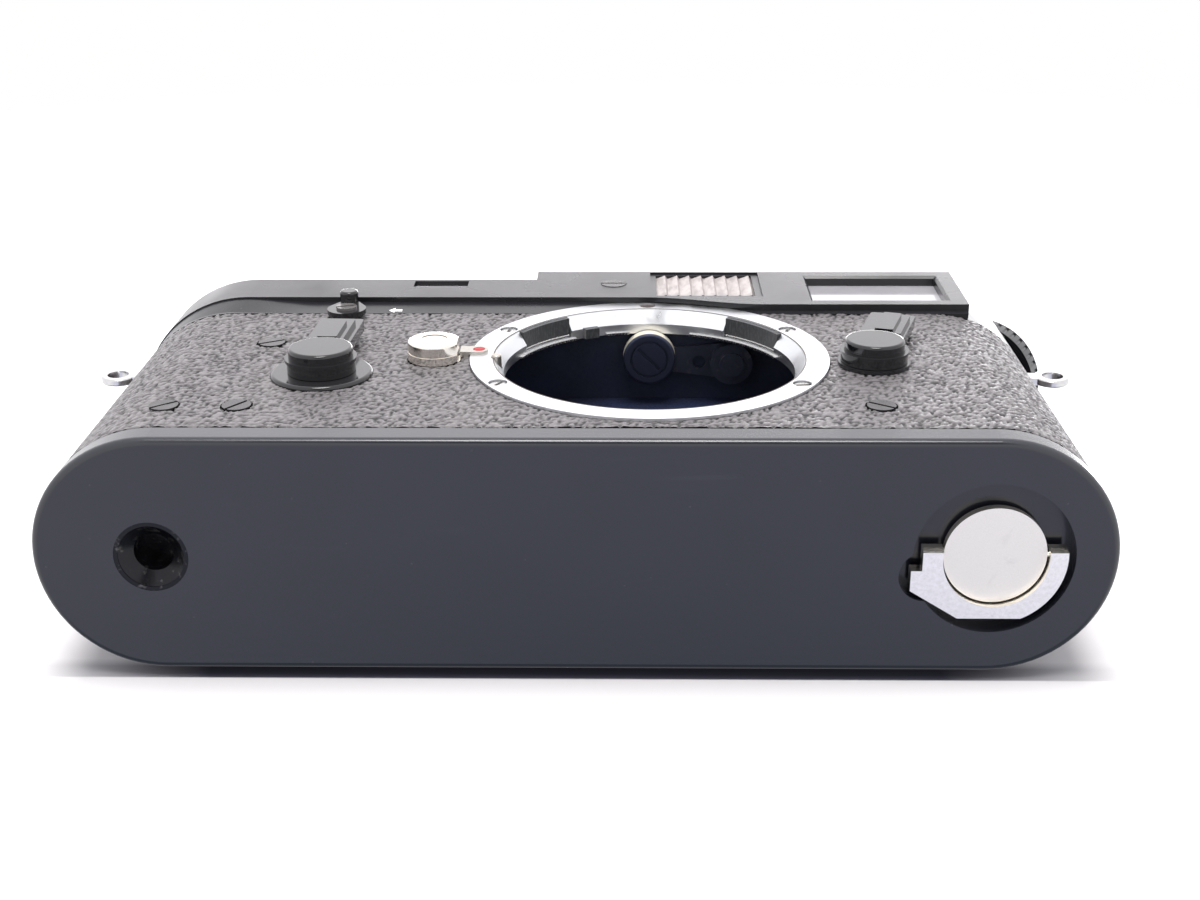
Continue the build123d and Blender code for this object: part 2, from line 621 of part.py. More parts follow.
with BuildPart() as strap_lugs:
    for side in (-1, 1):
        with BuildSketch(Plane(origin=(0, lug_y, 0), x_dir=(1, 0, 0), z_dir=axis_y)):
            with Locations((side * 68.2, lug_z)):
                Rectangle(4.4, lug_neck)
            with Locations((side * 71.7, lug_z)):
                Circle(2.7)
            with Locations((side * 71.9, lug_z)):
                Circle(1.6, mode=Mode.SUBTRACT)
        extrude(amount=lug_thick / 2, both=True)
    rims = strap_lugs.edges().filter_by(GeomType.CIRCLE)
    fillet(rims.filter_by(lambda e: e.radius > 2), 0.3)
save(strap_lugs, "strap_lugs")

# ---- accessory shoe ----------------------------------------------------------------
shoe_x, shoe_y = 8.0, 5.0
shoe_floor = block_z + 0.5
with BuildPart() as accessory_shoe:
    block(shoe_x - 10.6, shoe_x + 10.6, shoe_y - 9, shoe_y + 9, block_z, shoe_floor)
    for side in (-1, 1):
        x_out, x_in, x_lip = (shoe_x + side * d for d in (10.6, 9.35, 6.25))
        block(min(x_out, x_in), max(x_out, x_in), shoe_y - 9, shoe_y + 9, shoe_floor, shoe_floor + 3.1)
        block(min(x_out, x_lip), max(x_out, x_lip), shoe_y - 9, shoe_y + 9,
              shoe_floor + 2.1, shoe_floor + 3.1)
    block(shoe_x - 9.35, shoe_x + 9.35, shoe_y - 9, shoe_y - 7.8, shoe_floor, shoe_floor + 2.1)
    fillet(accessory_shoe.edges().filter_by(Axis.Y).group_by(Axis.Z)[-1], 0.3)
    for x in (-5.4, 5.4):
        for y in (-4.6, 4.6):
            disc(level(block_z - 1, shoe_x + x, shoe_y + y), 1.4, 3, Mode.SUBTRACT)
save(accessory_shoe, "accessory_shoe")

with BuildPart() as shoe_screws:
    for x in (-5.4, 5.4):
        for y in (-4.6, 4.6):
            slotted_head(level(block_z, shoe_x + x, shoe_y + y), 1.4, 0.48, 30 + 9 * x, 0.35, 0.3)
save(shoe_screws, "shoe_screws")

# ---- controls on the top plate --------------------------------------------------------
with BuildPart() as advance_lever:
    with BuildSketch(level(deck_z + 0.1)):
        with Locations((advance_x, advance_y)):
            Circle(5.6)
        with Locations((-64.0, 8.6)):
            Circle(1.9)
        make_hull()
    extrude(amount=1.7)
    disc(level(deck_z + 0.1, advance_x, advance_y), 7.0, 2.3)
    disc(level(deck_z, advance_x, advance_y), 3.5 + fit, 4, Mode.SUBTRACT)
    fillet(advance_lever.edges().group_by(Axis.Z)[-1], 0.3)
save(advance_lever, "advance_lever")

with BuildPart() as advance_lever_tip:
    with BuildSketch(level(deck_z + 1.8)):
        with Locations((-58.6, 7.2)):
            Circle(2.3)
        with Locations((-64.0, 9.0)):
            Circle(2.6)
        make_hull()
    extrude(amount=1.5)
    fillet(advance_lever_tip.edges().group_by(Axis.Z)[-1], 0.6)
save(advance_lever_tip, "advance_lever_tip")

with BuildPart() as shutter_button:
    disc(level(64.0, advance_x, advance_y), 2.7, 6.0)
    fillet(shutter_button.edges().sort_by(Axis.Z)[-1], 0.5)
    disc(level(58.5, advance_x, advance_y), 1.2, 5.5)
    disc(level(67.5, advance_x, advance_y), 1.2, 3, Mode.SUBTRACT)
save(shutter_button, "shutter_button")

with BuildPart() as shutter_speed_dial:
    disc(level(deck_z + 0.1, dial_x, dial_y), 7.9, 4.7)
    fillet(shutter_speed_dial.edges().sort_by(Axis.Z)[-1], 0.5)
    with BuildSketch(level(deck_z + 0.6, dial_x, dial_y)):
        with PolarLocations(7.95, 40):
            Circle(0.32)
    extrude(amount=3.4, mode=Mode.SUBTRACT)
    disc(level(60.0, dial_x, dial_y), 1.5, 6.2)
save(shutter_speed_dial, "shutter_speed_dial")

with BuildPart() as frame_counter:
    disc(level(63.4, counter_x, counter_y), 4.6, 0.8)
    disc(level(57.5, counter_x, counter_y), 0.8, 6.0)
save(frame_counter, "frame_counter")

knob_r = 9.6
with BuildPart() as rewind_knob:
    disc(crank_plane(-2.0), knob_r, 3.4)
    fillet(rewind_knob.edges().filter_by(GeomType.CIRCLE).sort_by(Axis.Z)[-1], 0.35)
    with BuildSketch(crank_plane(-1.6)):
        with PolarLocations(knob_r + 0.12, 44):
            Circle(0.3)
    extrude(amount=2.4, mode=Mode.SUBTRACT)
    with BuildSketch(crank_plane(0.0)):
        Rectangle(16.4, 4.4)
    extrude(amount=4, mode=Mode.SUBTRACT)
    with BuildSketch(Plane(crank_plane(0.8).origin, x_dir=crank_across, z_dir=(0, 1, 0))):
        with Locations((-6.2, 0)):
            Circle(0.45)
    extrude(amount=3.4, both=True, mode=Mode.SUBTRACT)
    disc(crank_plane(-9.0), 2.0, 7.0)
    disc(crank_plane(-9.6), 3.2, 1.0)
save(rewind_knob, "rewind_knob")

with BuildPart() as rewind_crank:
    with BuildSketch(crank_plane(0.2)):
        with Locations((0.6, 0)):
            RectangleRounded(14.6, 3.8, 0.9)
    extrude(amount=1.2)
    with BuildSketch(crank_plane(1.4)):
        with Locations((5.6, 0)):
            Circle(1.8)
    extrude(amount=2.2)
    with BuildSketch(Plane(crank_plane(0.8).origin, x_dir=crank_across, z_dir=(0, 1, 0))):
        with Locations((-6.2, 0)):
            Circle(0.4)
    extrude(amount=3.2, both=True)
save(rewind_crank, "rewind_crank")

with BuildPart() as rewind_fork:
    disc(level(52.0, cassette_x, 0), 2.0, 6.5)
    disc(level(58.0, cassette_x, 0), 3.4, 1.2)
    block(cassette_x - 2.6, cassette_x + 2.6, -0.5, 0.5, 49.2, 52.2)
    block(cassette_x - 1.0, cassette_x + 1.0, -2, 2, 49, 51, Mode.SUBTRACT)
save(rewind_fork, "rewind_fork")

# ---- film transport ---------------------------------------------------------------------
with BuildPart() as take_up_spool:
    disc(level(8.0, spool_x, 0), 9.2, 1.2)
    disc(level(9.2, spool_x, 0), 5.6, 39.4)
    disc(level(48.6, spool_x, 0), 9.2, 1.2)
    disc(level(49.8, spool_x, 0), 2.0, 7.2)
    with BuildSketch(level(12.0, spool_x, 0)):
        with PolarLocations(5.6, 3):
            Rectangle(2.6, 1.6)
    extrude(amount=34, mode=Mode.SUBTRACT)
save(take_up_spool, "take_up_spool")

with BuildPart() as film_sprocket:
    disc(level(11.0, sprocket_x, sprocket_y), 4.4, 36.6)
    for z in (lens_z - 16.5, lens_z + 12.5):
        disc(level(z, sprocket_x, sprocket_y), 5.9, 4.0)
        with BuildSketch(level(z + 1.4, sprocket_x, sprocket_y)):
            with PolarLocations(6.2, 8):
                Rectangle(1.3, 1.4)
        extrude(amount=1.2)
    disc(level(7.0, sprocket_x, sprocket_y), 1.2, 50.5)
save(film_sprocket, "film_sprocket")

# ---- rangefinder linkage --------------------------------------------------------------------
with BuildPart() as rangefinder_arm:
    with BuildSketch(level(52.0)):
        with Locations((arm_x, arm_y)):
            Circle(2.9)
        with Locations((roller_x + 1.5, roller_y + 0.8)):
            Circle(1.7)
        make_hull()
        with Locations((roller_x + 7.6, roller_y + 1.2)):
            Circle(1.0, mode=Mode.SUBTRACT)
    extrude(amount=0.7)
    disc(level(50.2, arm_x, arm_y), 3.2, 1.8)
    disc(level(49.6, arm_x, arm_y), 1.9, 0.6)
    disc(level(52.7, arm_x, arm_y), 1.6, 4.1)
    disc(level(51.8, roller_x, roller_y), 1.3, 0.9)
save(rangefinder_arm, "rangefinder_arm")

with BuildPart() as rangefinder_roller:
    disc(level(roller_z, roller_x, roller_y), 3.95, 2.1)
    fillet(rangefinder_roller.edges().sort_by(Axis.Z)[0], 0.35)
    with BuildSketch(level(roller_z, roller_x, roller_y)):
        Circle(2.9)
        Circle(2.55, mode=Mode.SUBTRACT)
        Rectangle(4.6, 0.55, rotation=45)
    extrude(amount=0.3, mode=Mode.SUBTRACT)
save(rangefinder_roller, "rangefinder_roller")

# ---- back door ----------------------------------------------------------------------------------
door_mid = ((door_x0 + door_x1) / 2, (door_z0 + door_z1) / 2)
speed_dial_z = 27.0
with BuildPart() as back_door:
    block(door_x0, door_x1, inner_r + 0.1, case_r, door_z0, door_z1)
    for x0 in (-38, -14, 10, 30):
        disc(Plane(origin=(x0, hinge_y, hinge_z), x_dir=(0, 1, 0), z_dir=(1, 0, 0)), 0.8, 7)
    with BuildSketch(Plane(origin=(door_x0, hinge_y, hinge_z), x_dir=(0, 1, 0), z_dir=(1, 0, 0))):
        Circle(0.5)
    extrude(amount=door_x1 - door_x0, mode=Mode.SUBTRACT)
    disc(facing_front(door_mid[0], speed_dial_z, 18), 1.5 + fit, 5, Mode.SUBTRACT)
save(back_door, "back_door")

with BuildPart() as door_covering:
    block(door_x0, door_x1, case_r, skin_r, door_z0 + 0.1, door_z1 - 0.3)
    disc(facing_front(door_mid[0], speed_dial_z, 18), 11.6, 5, Mode.SUBTRACT)
save(door_covering, "door_covering")

with BuildPart() as door_hinge_pin:
    with BuildSketch(Plane(origin=(door_x0 - gap, hinge_y, hinge_z), x_dir=(0, 1, 0), z_dir=(1, 0, 0))):
        Circle(0.45)
    extrude(amount=door_x1 - door_x0 + 2 * gap)
save(door_hinge_pin, "door_hinge_pin")

with BuildPart() as pressure_plate:
    block(-22.0, 35.0, film_y + 0.25, 12.9, 9.5, 45.4)
    for x in (-12, 25):
        block(x - 1.5, x + 1.5, 12.9, inner_r + 0.1, 20, 34)
save(pressure_plate, "pressure_plate")

with BuildPart() as film_speed_dial:
    disc(facing_front(door_mid[0], speed_dial_z, 17.2), 11.5, 1.55)
    fillet(film_speed_dial.edges().sort_by(Axis.Y)[-1], 0.4)
    with BuildSketch(facing_front(door_mid[0], speed_dial_z, 18)):
        with PolarLocations(11.6, 48):
            Circle(0.35)
    extrude(amount=1.9, mode=Mode.SUBTRACT)
    disc(facing_front(door_mid[0], speed_dial_z, 15.7), 1.5, 1.3)
save(film_speed_dial, "film_speed_dial")

# ---- base plate -----------------------------------------------------------------------------------
base_sheet = 1.2
recess_r = 10.3
recess_top = 3.05
with BuildPart() as base_plate:
    with BuildSketch():
        stadium(skin_r)
    extrude(amount=base_h)
    fillet(base_plate.edges().group_by(Axis.Z)[0], 0.9)
    with BuildSketch(level(base_sheet)):
        stadium(skin_r - 1.3)
    extrude(amount=base_h, mode=Mode.SUBTRACT)
    disc(level(base_sheet - 0.1, lock_x, 0), 13.2, recess_top + 1.05 - base_sheet)
    disc(level(base_sheet - 0.1, tripod_x, 0), 6.2, 1.4)
    # dished recess of the lock, with the notch for a fingernail
    with BuildSketch():
        with Locations((lock_x, 0)):
            Circle(recess_r)
        with Locations((44.7, 2.4)):
            Circle(3.5)
    extrude(amount=recess_top, mode=Mode.SUBTRACT)
    disc(level(0, disc_x, 0), 2.5 + fit, 6, Mode.SUBTRACT)
    disc(level(0, tripod_x, 0), 4.8, 6, Mode.SUBTRACT)
save(base_plate, "base_plate")

with BuildPart() as tripod_socket:
    disc(level(0.05, tripod_x, 0), 4.8, 6.95)
    with BuildSketch(Plane(origin=(tripod_x, 0, 0), x_dir=(1, 0, 0), z_dir=axis_y)):
        with BuildLine():
            Polyline((0, -1), (4.25, -1), (4.25, 0.2), (3.9, 0.5), (2.6, 1.6), (2.6, 6.4), (0, 6.4),
                     close=True)
        make_face()
    revolve(axis=Axis((tripod_x, 0, 0), (0, 0, 1)), mode=Mode.SUBTRACT)
save(tripod_socket, "tripod_socket")

with BuildPart() as base_claw:
    block(-64.4, -63.2, -2.6, 2.6, base_sheet, 8.6)
    block(-66.3, -64.4, -2.4, 2.4, 7.6, 8.6)
save(base_claw, "base_claw")

lock_disc_r = 6.55
wing_z0, wing_z1 = 0.1, 2.0
wing_edge_y = -1.25
hinge_wing_z = 1.72
with BuildPart() as lock_disc:
    disc(level(1.15, disc_x, 0), lock_disc_r, 1.15)
    disc(level(2.3, disc_x, 0), 2.5, 3.5)
    with BuildSketch(Plane(origin=(disc_x, 0, hinge_wing_z), x_dir=(0, 1, 0), z_dir=(1, 0, 0))):
        Circle(0.45)
    extrude(amount=8, both=True, mode=Mode.SUBTRACT)
save(lock_disc, "lock_disc")

with BuildPart() as latch_cam:
    with BuildSketch(level(4.2)):
        with Locations((disc_x, 0)):
            Circle(4.6)
        with Locations((disc_x + 1.0, -9.6)):
            Circle(2.2)
        make_hull()
        with Locations((disc_x, 0)):
            Circle(2.5, mode=Mode.SUBTRACT)
    extrude(amount=1.3)
save(latch_cam, "latch_cam")

with BuildPart() as lock_wing:
    with BuildSketch(level(wing_z0)):
        with BuildLine():
            Polyline((62.4, wing_edge_y), (44.15, wing_edge_y), (44.15, 1.7), (42.75, 1.7),
                     (42.75, 4.5), (49.0, 8.4), (57.1, 8.4))
            ThreePointArc((57.1, 8.4), (lock_x + 9.35 * cos(radians(30)), 9.35 * sin(radians(30))),
                          (62.4, wing_edge_y))
        make_face()
        with Locations((disc_x, 0)):
            Circle(lock_disc_r + 0.2, mode=Mode.SUBTRACT)
    extrude(amount=wing_z1 - wing_z0)
    # bevelled edge by the hinge
    with BuildSketch(Plane(origin=(40, 0, 0), x_dir=(0, 1, 0), z_dir=(1, 0, 0))):
        with BuildLine():
            Polyline((wing_edge_y - 0.1, 0), (wing_edge_y + 0.4, 0), (wing_edge_y + 0.4, wing_z0),
                     (wing_edge_y, 0.9), (wing_edge_y - 0.1, 0.9), close=True)
        make_face()
    extrude(amount=26, mode=Mode.SUBTRACT)
    for side in (-1, 1):
        with BuildSketch(Plane(origin=(disc_x + side * 4.9, 0, hinge_wing_z), x_dir=(0, 1, 0),
                               z_dir=(side, 0, 0))):
            Circle(0.4)
        extrude(amount=2.4)
save(lock_wing, "lock_wing")
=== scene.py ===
"""Looks of a 35 mm rangefinder camera body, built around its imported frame.

Everything is in metres in the row frame: +X to the right in a front view, +Y into the body, +Z up.
"""

import math

import bmesh
import bpy
import numpy as np
from mathutils import Euler, Matrix, Vector


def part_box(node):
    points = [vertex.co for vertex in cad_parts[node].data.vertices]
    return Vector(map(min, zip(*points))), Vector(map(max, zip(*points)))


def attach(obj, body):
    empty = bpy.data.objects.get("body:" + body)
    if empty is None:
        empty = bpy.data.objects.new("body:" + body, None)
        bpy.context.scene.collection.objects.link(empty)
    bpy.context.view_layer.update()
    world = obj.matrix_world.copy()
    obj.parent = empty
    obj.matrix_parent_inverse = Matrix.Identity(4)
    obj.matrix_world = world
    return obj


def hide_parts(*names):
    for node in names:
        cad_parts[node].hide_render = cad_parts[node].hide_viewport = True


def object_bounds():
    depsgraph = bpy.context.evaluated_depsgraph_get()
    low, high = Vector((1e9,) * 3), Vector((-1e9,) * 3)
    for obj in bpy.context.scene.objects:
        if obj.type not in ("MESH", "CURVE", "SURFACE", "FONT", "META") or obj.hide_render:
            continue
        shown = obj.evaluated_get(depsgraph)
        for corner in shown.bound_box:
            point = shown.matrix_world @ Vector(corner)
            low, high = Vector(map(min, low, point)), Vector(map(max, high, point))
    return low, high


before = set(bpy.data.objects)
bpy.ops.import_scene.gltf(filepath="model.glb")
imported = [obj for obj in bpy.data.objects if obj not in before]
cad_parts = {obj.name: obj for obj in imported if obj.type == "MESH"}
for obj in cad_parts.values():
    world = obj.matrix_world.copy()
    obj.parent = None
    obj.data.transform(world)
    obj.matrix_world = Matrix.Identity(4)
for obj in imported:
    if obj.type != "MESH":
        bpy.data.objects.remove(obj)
cad_low, cad_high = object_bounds()
MM = 0.001


# ---- places read from the frame ------------------------------------------------
def middle(node):
    low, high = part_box(node)
    return (low + high) / 2


def top_of(node):
    """Middle of a node's upper face."""
    at = middle(node)
    return Vector((at.x, at.y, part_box(node)[1].z))


cover_low, cover_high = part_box("body_covering")
door_low, door_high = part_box("door_covering")
mount_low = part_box("mount_ring")[0]
mount_centre = middle("mount_ring")
skin_r = cover_high.y                   # radius of the body's round ends, over the covering
end_x = cover_high.x - skin_r           # where the straight walls end
skin = door_high.y - door_low.y         # thickness of the covering


# ---- materials -------------------------------------------------------------------
def add_node(tree, kind, links=(), **values):
    """Adds a shader node; links gives each input a socket to follow or a plain value."""
    made = tree.nodes.new(kind)
    for key, value in values.items():
        setattr(made, key, value)
    for socket, value in dict(links).items():
        if isinstance(value, bpy.types.NodeSocket):
            tree.links.new(value, made.inputs[socket])
        else:
            made.inputs[socket].default_value = value
    return made


def blend(tree, share, color, other):
    """Socket that goes from color, a socket or four values, to other as share goes from 0 to 1."""
    return add_node(tree, "ShaderNodeMix", {0: share, 6: color, 7: (*other, 1)}, data_type="RGBA").outputs[2]


class Finish:
    """A principled material, with the few nodes that vary it over the surface."""

    def __init__(self, name, color, rough, metallic=0.0, ior=1.5, coat=0.0, coat_rough=0.05,
                 sheen=0.0, transmission=0.0):
        self.material = bpy.data.materials.new(name)
        self.material.use_nodes = True
        self.tree = self.material.node_tree
        self.shader = self.tree.nodes["Principled BSDF"]
        self.coords = self.tree.nodes.new("ShaderNodeTexCoord").outputs["Object"]
        self.color = (*color, 1)
        self.normal = None
        for socket, value in (("Base Color", self.color), ("Roughness", rough), ("Metallic", metallic),
                              ("IOR", ior), ("Coat Weight", coat), ("Coat Roughness", coat_rough),
                              ("Sheen Weight", sheen), ("Transmission Weight", transmission)):
            self.shader.inputs[socket].default_value = value

    def node(self, kind, links=(), **values):
        return add_node(self.tree, kind, links, **values)

    def stretched(self, stretch, turn=(0, 0, 0)):
        """Object coordinates, scaled along each axis after a turn in radians."""
        mapping = self.node("ShaderNodeMapping", {"Vector": self.coords, "Scale": stretch, "Rotation": turn})
        return mapping.outputs[0]

    def noise(self, size, detail=4.0, lump=0.5, stretch=None, turn=(0, 0, 0), warp=0.0):
        """Noise whose features are about size metres across."""
        at = self.stretched(stretch, turn) if stretch else self.coords
        made = self.node("ShaderNodeTexNoise", {"Vector": at, "Scale": 1 / size, "Detail": detail,
                                                "Roughness": lump, "Distortion": warp})
        return made.outputs[0]

    def cells(self, size):
        """Distance to the nearest of random points about size metres apart, as a share of size."""
        made = self.node("ShaderNodeTexVoronoi", {"Vector": self.coords, "Scale": 1 / size})
        return made.outputs["Distance"]

    def remap(self, value, low, high, to_low, to_high):
        made = self.node("ShaderNodeMapRange", {"Value": value, "From Min": low, "From Max": high,
                                                "To Min": to_low, "To Max": to_high})
        return made.outputs[0]

    def math(self, operation, a, b=0.0):
        return self.node("ShaderNodeMath", {0: a, 1: b}, operation=operation).outputs[0]

    def tint(self, share, color):
        """Blends the colour so far towards another, by share from 0 to 1."""
        self.color = blend(self.tree, share, self.color, color)
        self.tree.links.new(self.color, self.shader.inputs["Base Color"])

    def vary_rough(self, share, low, high):
        """Roughness from low to high, as a noise goes from its lower to its higher patches."""
        self.tree.links.new(self.remap(share, 0.3, 0.7, low, high), self.shader.inputs["Roughness"])

    def bump(self, height, distance, strength=1.0):
        links = {"Height": height, "Distance": distance, "Strength": strength}
        if self.normal is not None:
            links["Normal"] = self.normal
        self.normal = self.node("ShaderNodeBump", links).outputs[0]
        self.tree.links.new(self.normal, self.shader.inputs["Normal"])

    def polar(self, centre, axis):
        """Distance from an axis through centre, in metres, as a socket."""
        shift = self.node("ShaderNodeVectorMath", {0: self.coords, 1: tuple(centre)},
                          operation="SUBTRACT").outputs[0]
        flat = tuple(0.0 if abs(a) > 0.5 else 1.0 for a in axis)
        across = self.node("ShaderNodeVectorMath", {0: shift, 1: flat}, operation="MULTIPLY").outputs[0]
        return self.node("ShaderNodeVectorMath", {0: across}, operation="LENGTH").outputs["Value"]

    def coordinate(self, axis):
        """One object coordinate in metres, as a socket: axis is "X", "Y" or "Z"."""
        return self.node("ShaderNodeSeparateXYZ", {0: self.coords}).outputs[axis]


def black_paint(name, rough, color=(0.010, 0.010, 0.012), ripple=0.02, wear=1.0, ior=1.52, coat=0.25):
    """Sprayed black paint on brass: a little orange peel, faint hair scratches, dust and rubbed patches."""
    made = Finish(name, color, rough, ior=ior, coat=coat, coat_rough=0.12)
    patches = made.noise(14 * MM, 3, warp=0.4)
    made.vary_rough(patches, rough * 0.8, rough * 1.3)
    hair = made.noise(1.2 * MM, 2, 0.4, stretch=(0.08, 1, 3.0), turn=(0, 0.5, 0.35))
    made.tint(made.remap(hair, 0.70, 0.80, 0, 0.10 * wear), (0.10, 0.10, 0.11))
    dust = made.cells(3.4 * MM)
    made.tint(made.remap(dust, 0.045, 0.02, 0, 0.25 * wear), (0.20, 0.19, 0.19))
    made.bump(made.noise(0.7 * MM, 2), ripple * MM, 0.35)
    made.bump(hair, 0.004 * MM, 0.5)
    return made.material


def casting(name, color=(0.016, 0.016, 0.018)):
    """Blackened die casting, matt and slightly grainy."""
    made = Finish(name, color, 0.62)
    grain = made.noise(0.35 * MM, 4, 0.6)
    made.tint(made.remap(made.noise(4 * MM, 4), 0.45, 0.75, 0, 0.5), [c * 2 for c in color])
    made.vary_rough(grain, 0.5, 0.75)
    made.bump(grain, 0.03 * MM, 0.6)
    return made.material


def pebbled(name):
    """Hard pebbled covering: painted highlight on the rounded tops and painted shade in the creases."""
    made = Finish(name, (0.012, 0.011, 0.012), 0.42, ior=1.6, sheen=0.10)
    grain = made.node("ShaderNodeAttribute", attribute_name="grain").outputs["Fac"]
    # painted light: the grain height tints the pebble tops lighter as a painted highlight and leaves the
    # creases dark as painted shade
    made.tint(made.remap(grain, 0.45, 0.90, 0, 1), (0.088, 0.081, 0.086))
    made.tint(made.remap(made.noise(9 * MM, 4), 0.5, 0.8, 0, 0.4), (0.10, 0.092, 0.093))
    fine = made.noise(0.22 * MM, 3, 0.6)
    made.vary_rough(fine, 0.30, 0.50)
    made.bump(fine, 0.022 * MM, 0.75)
    made.bump(made.cells(0.45 * MM), 0.02 * MM, 0.4)
    return made.material


def cut_edge(name):
    """Cut edge of the covering: matt black with dust, kept darker than the covering's face as painted shade
    in the narrow gaps.
    """
    made = Finish(name, (0.006, 0.006, 0.007), 0.85, ior=1.3)
    crumbs = made.noise(0.3 * MM, 3, 0.6)
    made.tint(made.remap(crumbs, 0.5, 0.75, 0, 0.5), (0.022, 0.020, 0.020))
    made.bump(crumbs, 0.03 * MM, 0.6)
    return made.material


def turned_chrome(name, centre, axis, color, rough, scuffs=0.35):
    """Chrome over lathe-turned metal: rings of fine tool marks and a few scuffs."""
    made = Finish(name, color, rough, metallic=1.0)
    radius = made.polar(centre, axis)
    marks = made.math("SINE", made.math("MULTIPLY", radius, 2 * math.pi / (0.09 * MM)))
    smudge = made.noise(6 * MM, 4, warp=0.5)
    made.vary_rough(smudge, rough * 0.75, rough * 1.35)
    made.tint(made.remap(made.noise(1.6 * MM, 4), 0.62, 0.75, 0, scuffs), [c * 0.72 for c in color])
    made.bump(marks, 0.0012 * MM, 0.35)
    made.bump(made.noise(0.5 * MM, 2), 0.004 * MM, 0.4)
    return made.material


def satin_metal(name, color, rough, grain=0.16):
    """Vapour-blasted or brushed metal with a fine satin grain and small scuffs."""
    made = Finish(name, color, rough, metallic=1.0)
    fine = made.noise(grain * MM, 3, 0.65)
    made.vary_rough(fine, rough * 0.8, rough * 1.2)
    made.tint(made.remap(fine, 0.35, 0.7, 0, 0.35), [c * 0.80 for c in color])
    made.tint(made.remap(made.noise(3 * MM, 4, warp=0.6), 0.62, 0.78, 0, 0.3), [c * 0.62 for c in color])
    made.bump(fine, 0.010 * MM, 0.5)
    return made.material


def blackened(name, rough=0.38, color=(0.020, 0.020, 0.024)):
    """Chemically blackened steel with rubbed lighter spots."""
    made = Finish(name, color, rough, metallic=0.6)
    worn = made.noise(1.3 * MM, 5, 0.6)
    made.tint(made.remap(worn, 0.58, 0.78, 0, 0.65), (0.20, 0.19, 0.18))
    made.vary_rough(worn, rough * 1.2, rough * 0.7)
    made.bump(made.noise(0.3 * MM, 3), 0.012 * MM, 0.5)
    return made.material


def roller_steel(name, foot_z):
    """The cam roller: a bright turned rim above its lower face, which is painted dark blue as shade."""
    made = Finish(name, (0.86, 0.80, 0.66), 0.42, metallic=0.7)
    # rim is the share of the lower face, from 1 at its foot to 0 up on the rim; it carries the painted shade
    rim = made.remap(made.coordinate("Z"), foot_z + 0.30 * MM, foot_z + 0.55 * MM, 1, 0)
    marks = made.noise(0.25 * MM, 3, 0.6, stretch=(1, 1, 6))
    made.tint(made.remap(marks, 0.4, 0.7, 0, 0.35), (0.25, 0.24, 0.20))
    # painted shade: the lower face goes to dark blue
    made.tint(rim, (0.038, 0.044, 0.078))
    made.bump(marks, 0.006 * MM, 0.5)
    return made.material


def flocked(name):
    """Dark textured anti-reflection finish with fine upright streaks."""
    made = Finish(name, (0.012, 0.013, 0.016), 0.8, sheen=0.25)
    streaks = made.noise(0.25 * MM, 4, 0.7, stretch=(1, 0.25, 1))
    made.tint(made.remap(streaks, 0.45, 0.75, 0, 0.7), (0.07, 0.075, 0.082))
    made.bump(streaks, 0.05 * MM, 0.8)
    return made.material


def plastic(name, color, rough, speck):
    """Moulded plastic with a soft sheen and faint mottling."""
    made = Finish(name, color, rough, ior=1.48)
    mottle = made.noise(0.8 * MM, 4, 0.6)
    made.tint(made.remap(mottle, 0.35, 0.7, 0, 0.6), speck)
    made.vary_rough(mottle, rough * 0.8, rough * 1.25)
    made.bump(mottle, 0.015 * MM, 0.5)
    return made.material


def ribbed_plastic(name, low_z, high_z):
    """Frosted light-gathering window: pinkish white, darker towards its foot."""
    made = Finish(name, (0.30, 0.27, 0.265), 0.35, ior=1.49)
    streak = made.noise(1.1 * MM, 4, 0.6, stretch=(1, 1, 0.35), turn=(0, 0.5, 0))
    made.tint(made.remap(streak, 0.42, 0.62, 0, 0.8), (0.16, 0.14, 0.137))
    foot = made.remap(made.coordinate("Z"), low_z, low_z + 0.2 * (high_z - low_z), 0.6, 0)
    made.tint(foot, (0.12, 0.11, 0.11))
    made.bump(streak, 0.05 * MM, 0.6)
    return made.material


def coated_glass(name, color, rough=0.04, metallic=0.35):
    """Coated finder glass over a dark cell: grey, with a purple cast and a little haze."""
    made = Finish(name, color, rough, metallic=metallic, ior=1.9, coat=0.6, coat_rough=0.02)
    haze = made.noise(5 * MM, 3, warp=0.5)
    made.tint(made.remap(haze, 0.4, 0.75, 0, 0.5), [c * 1.25 for c in color])
    made.vary_rough(haze, rough, rough * 2.5)
    made.bump(made.noise(9 * MM, 1), 0.01 * MM, 0.2)
    return made.material


def cloth(name):
    """Rubberised shutter cloth with a fine weave."""
    made = Finish(name, (0.010, 0.010, 0.011), 0.75, sheen=0.3)
    warp_threads = made.noise(0.25 * MM, 1, 0.3, stretch=(1, 1, 0.1))
    weft_threads = made.noise(0.25 * MM, 1, 0.3, stretch=(0.1, 1, 1))
    made.tint(made.remap(warp_threads, 0.4, 0.7, 0, 0.6), (0.03, 0.03, 0.032))
    made.bump(made.math("ADD", warp_threads, weft_threads), 0.02 * MM, 0.7)
    return made.material


def ink(name, color):
    """Engraving fill: flat enamel with small pinholes."""
    made = Finish(name, color, 0.5)
    chips = made.noise(0.18 * MM, 3, 0.7)
    made.tint(made.remap(chips, 0.60, 0.75, 0, 0.5), [c * 0.55 for c in color])
    made.bump(chips, 0.01 * MM, 0.5)
    return made.material


enamel = black_paint("black_enamel", 0.28, (0.008, 0.008, 0.010), wear=0.6, ior=1.46, coat=0.14)
base_enamel = black_paint("base_enamel", 0.20, (0.013, 0.014, 0.019), wear=0.5)
gloss = black_paint("gloss_black", 0.10, (0.006, 0.006, 0.007), ripple=0.008)
cast = casting("casting_black")
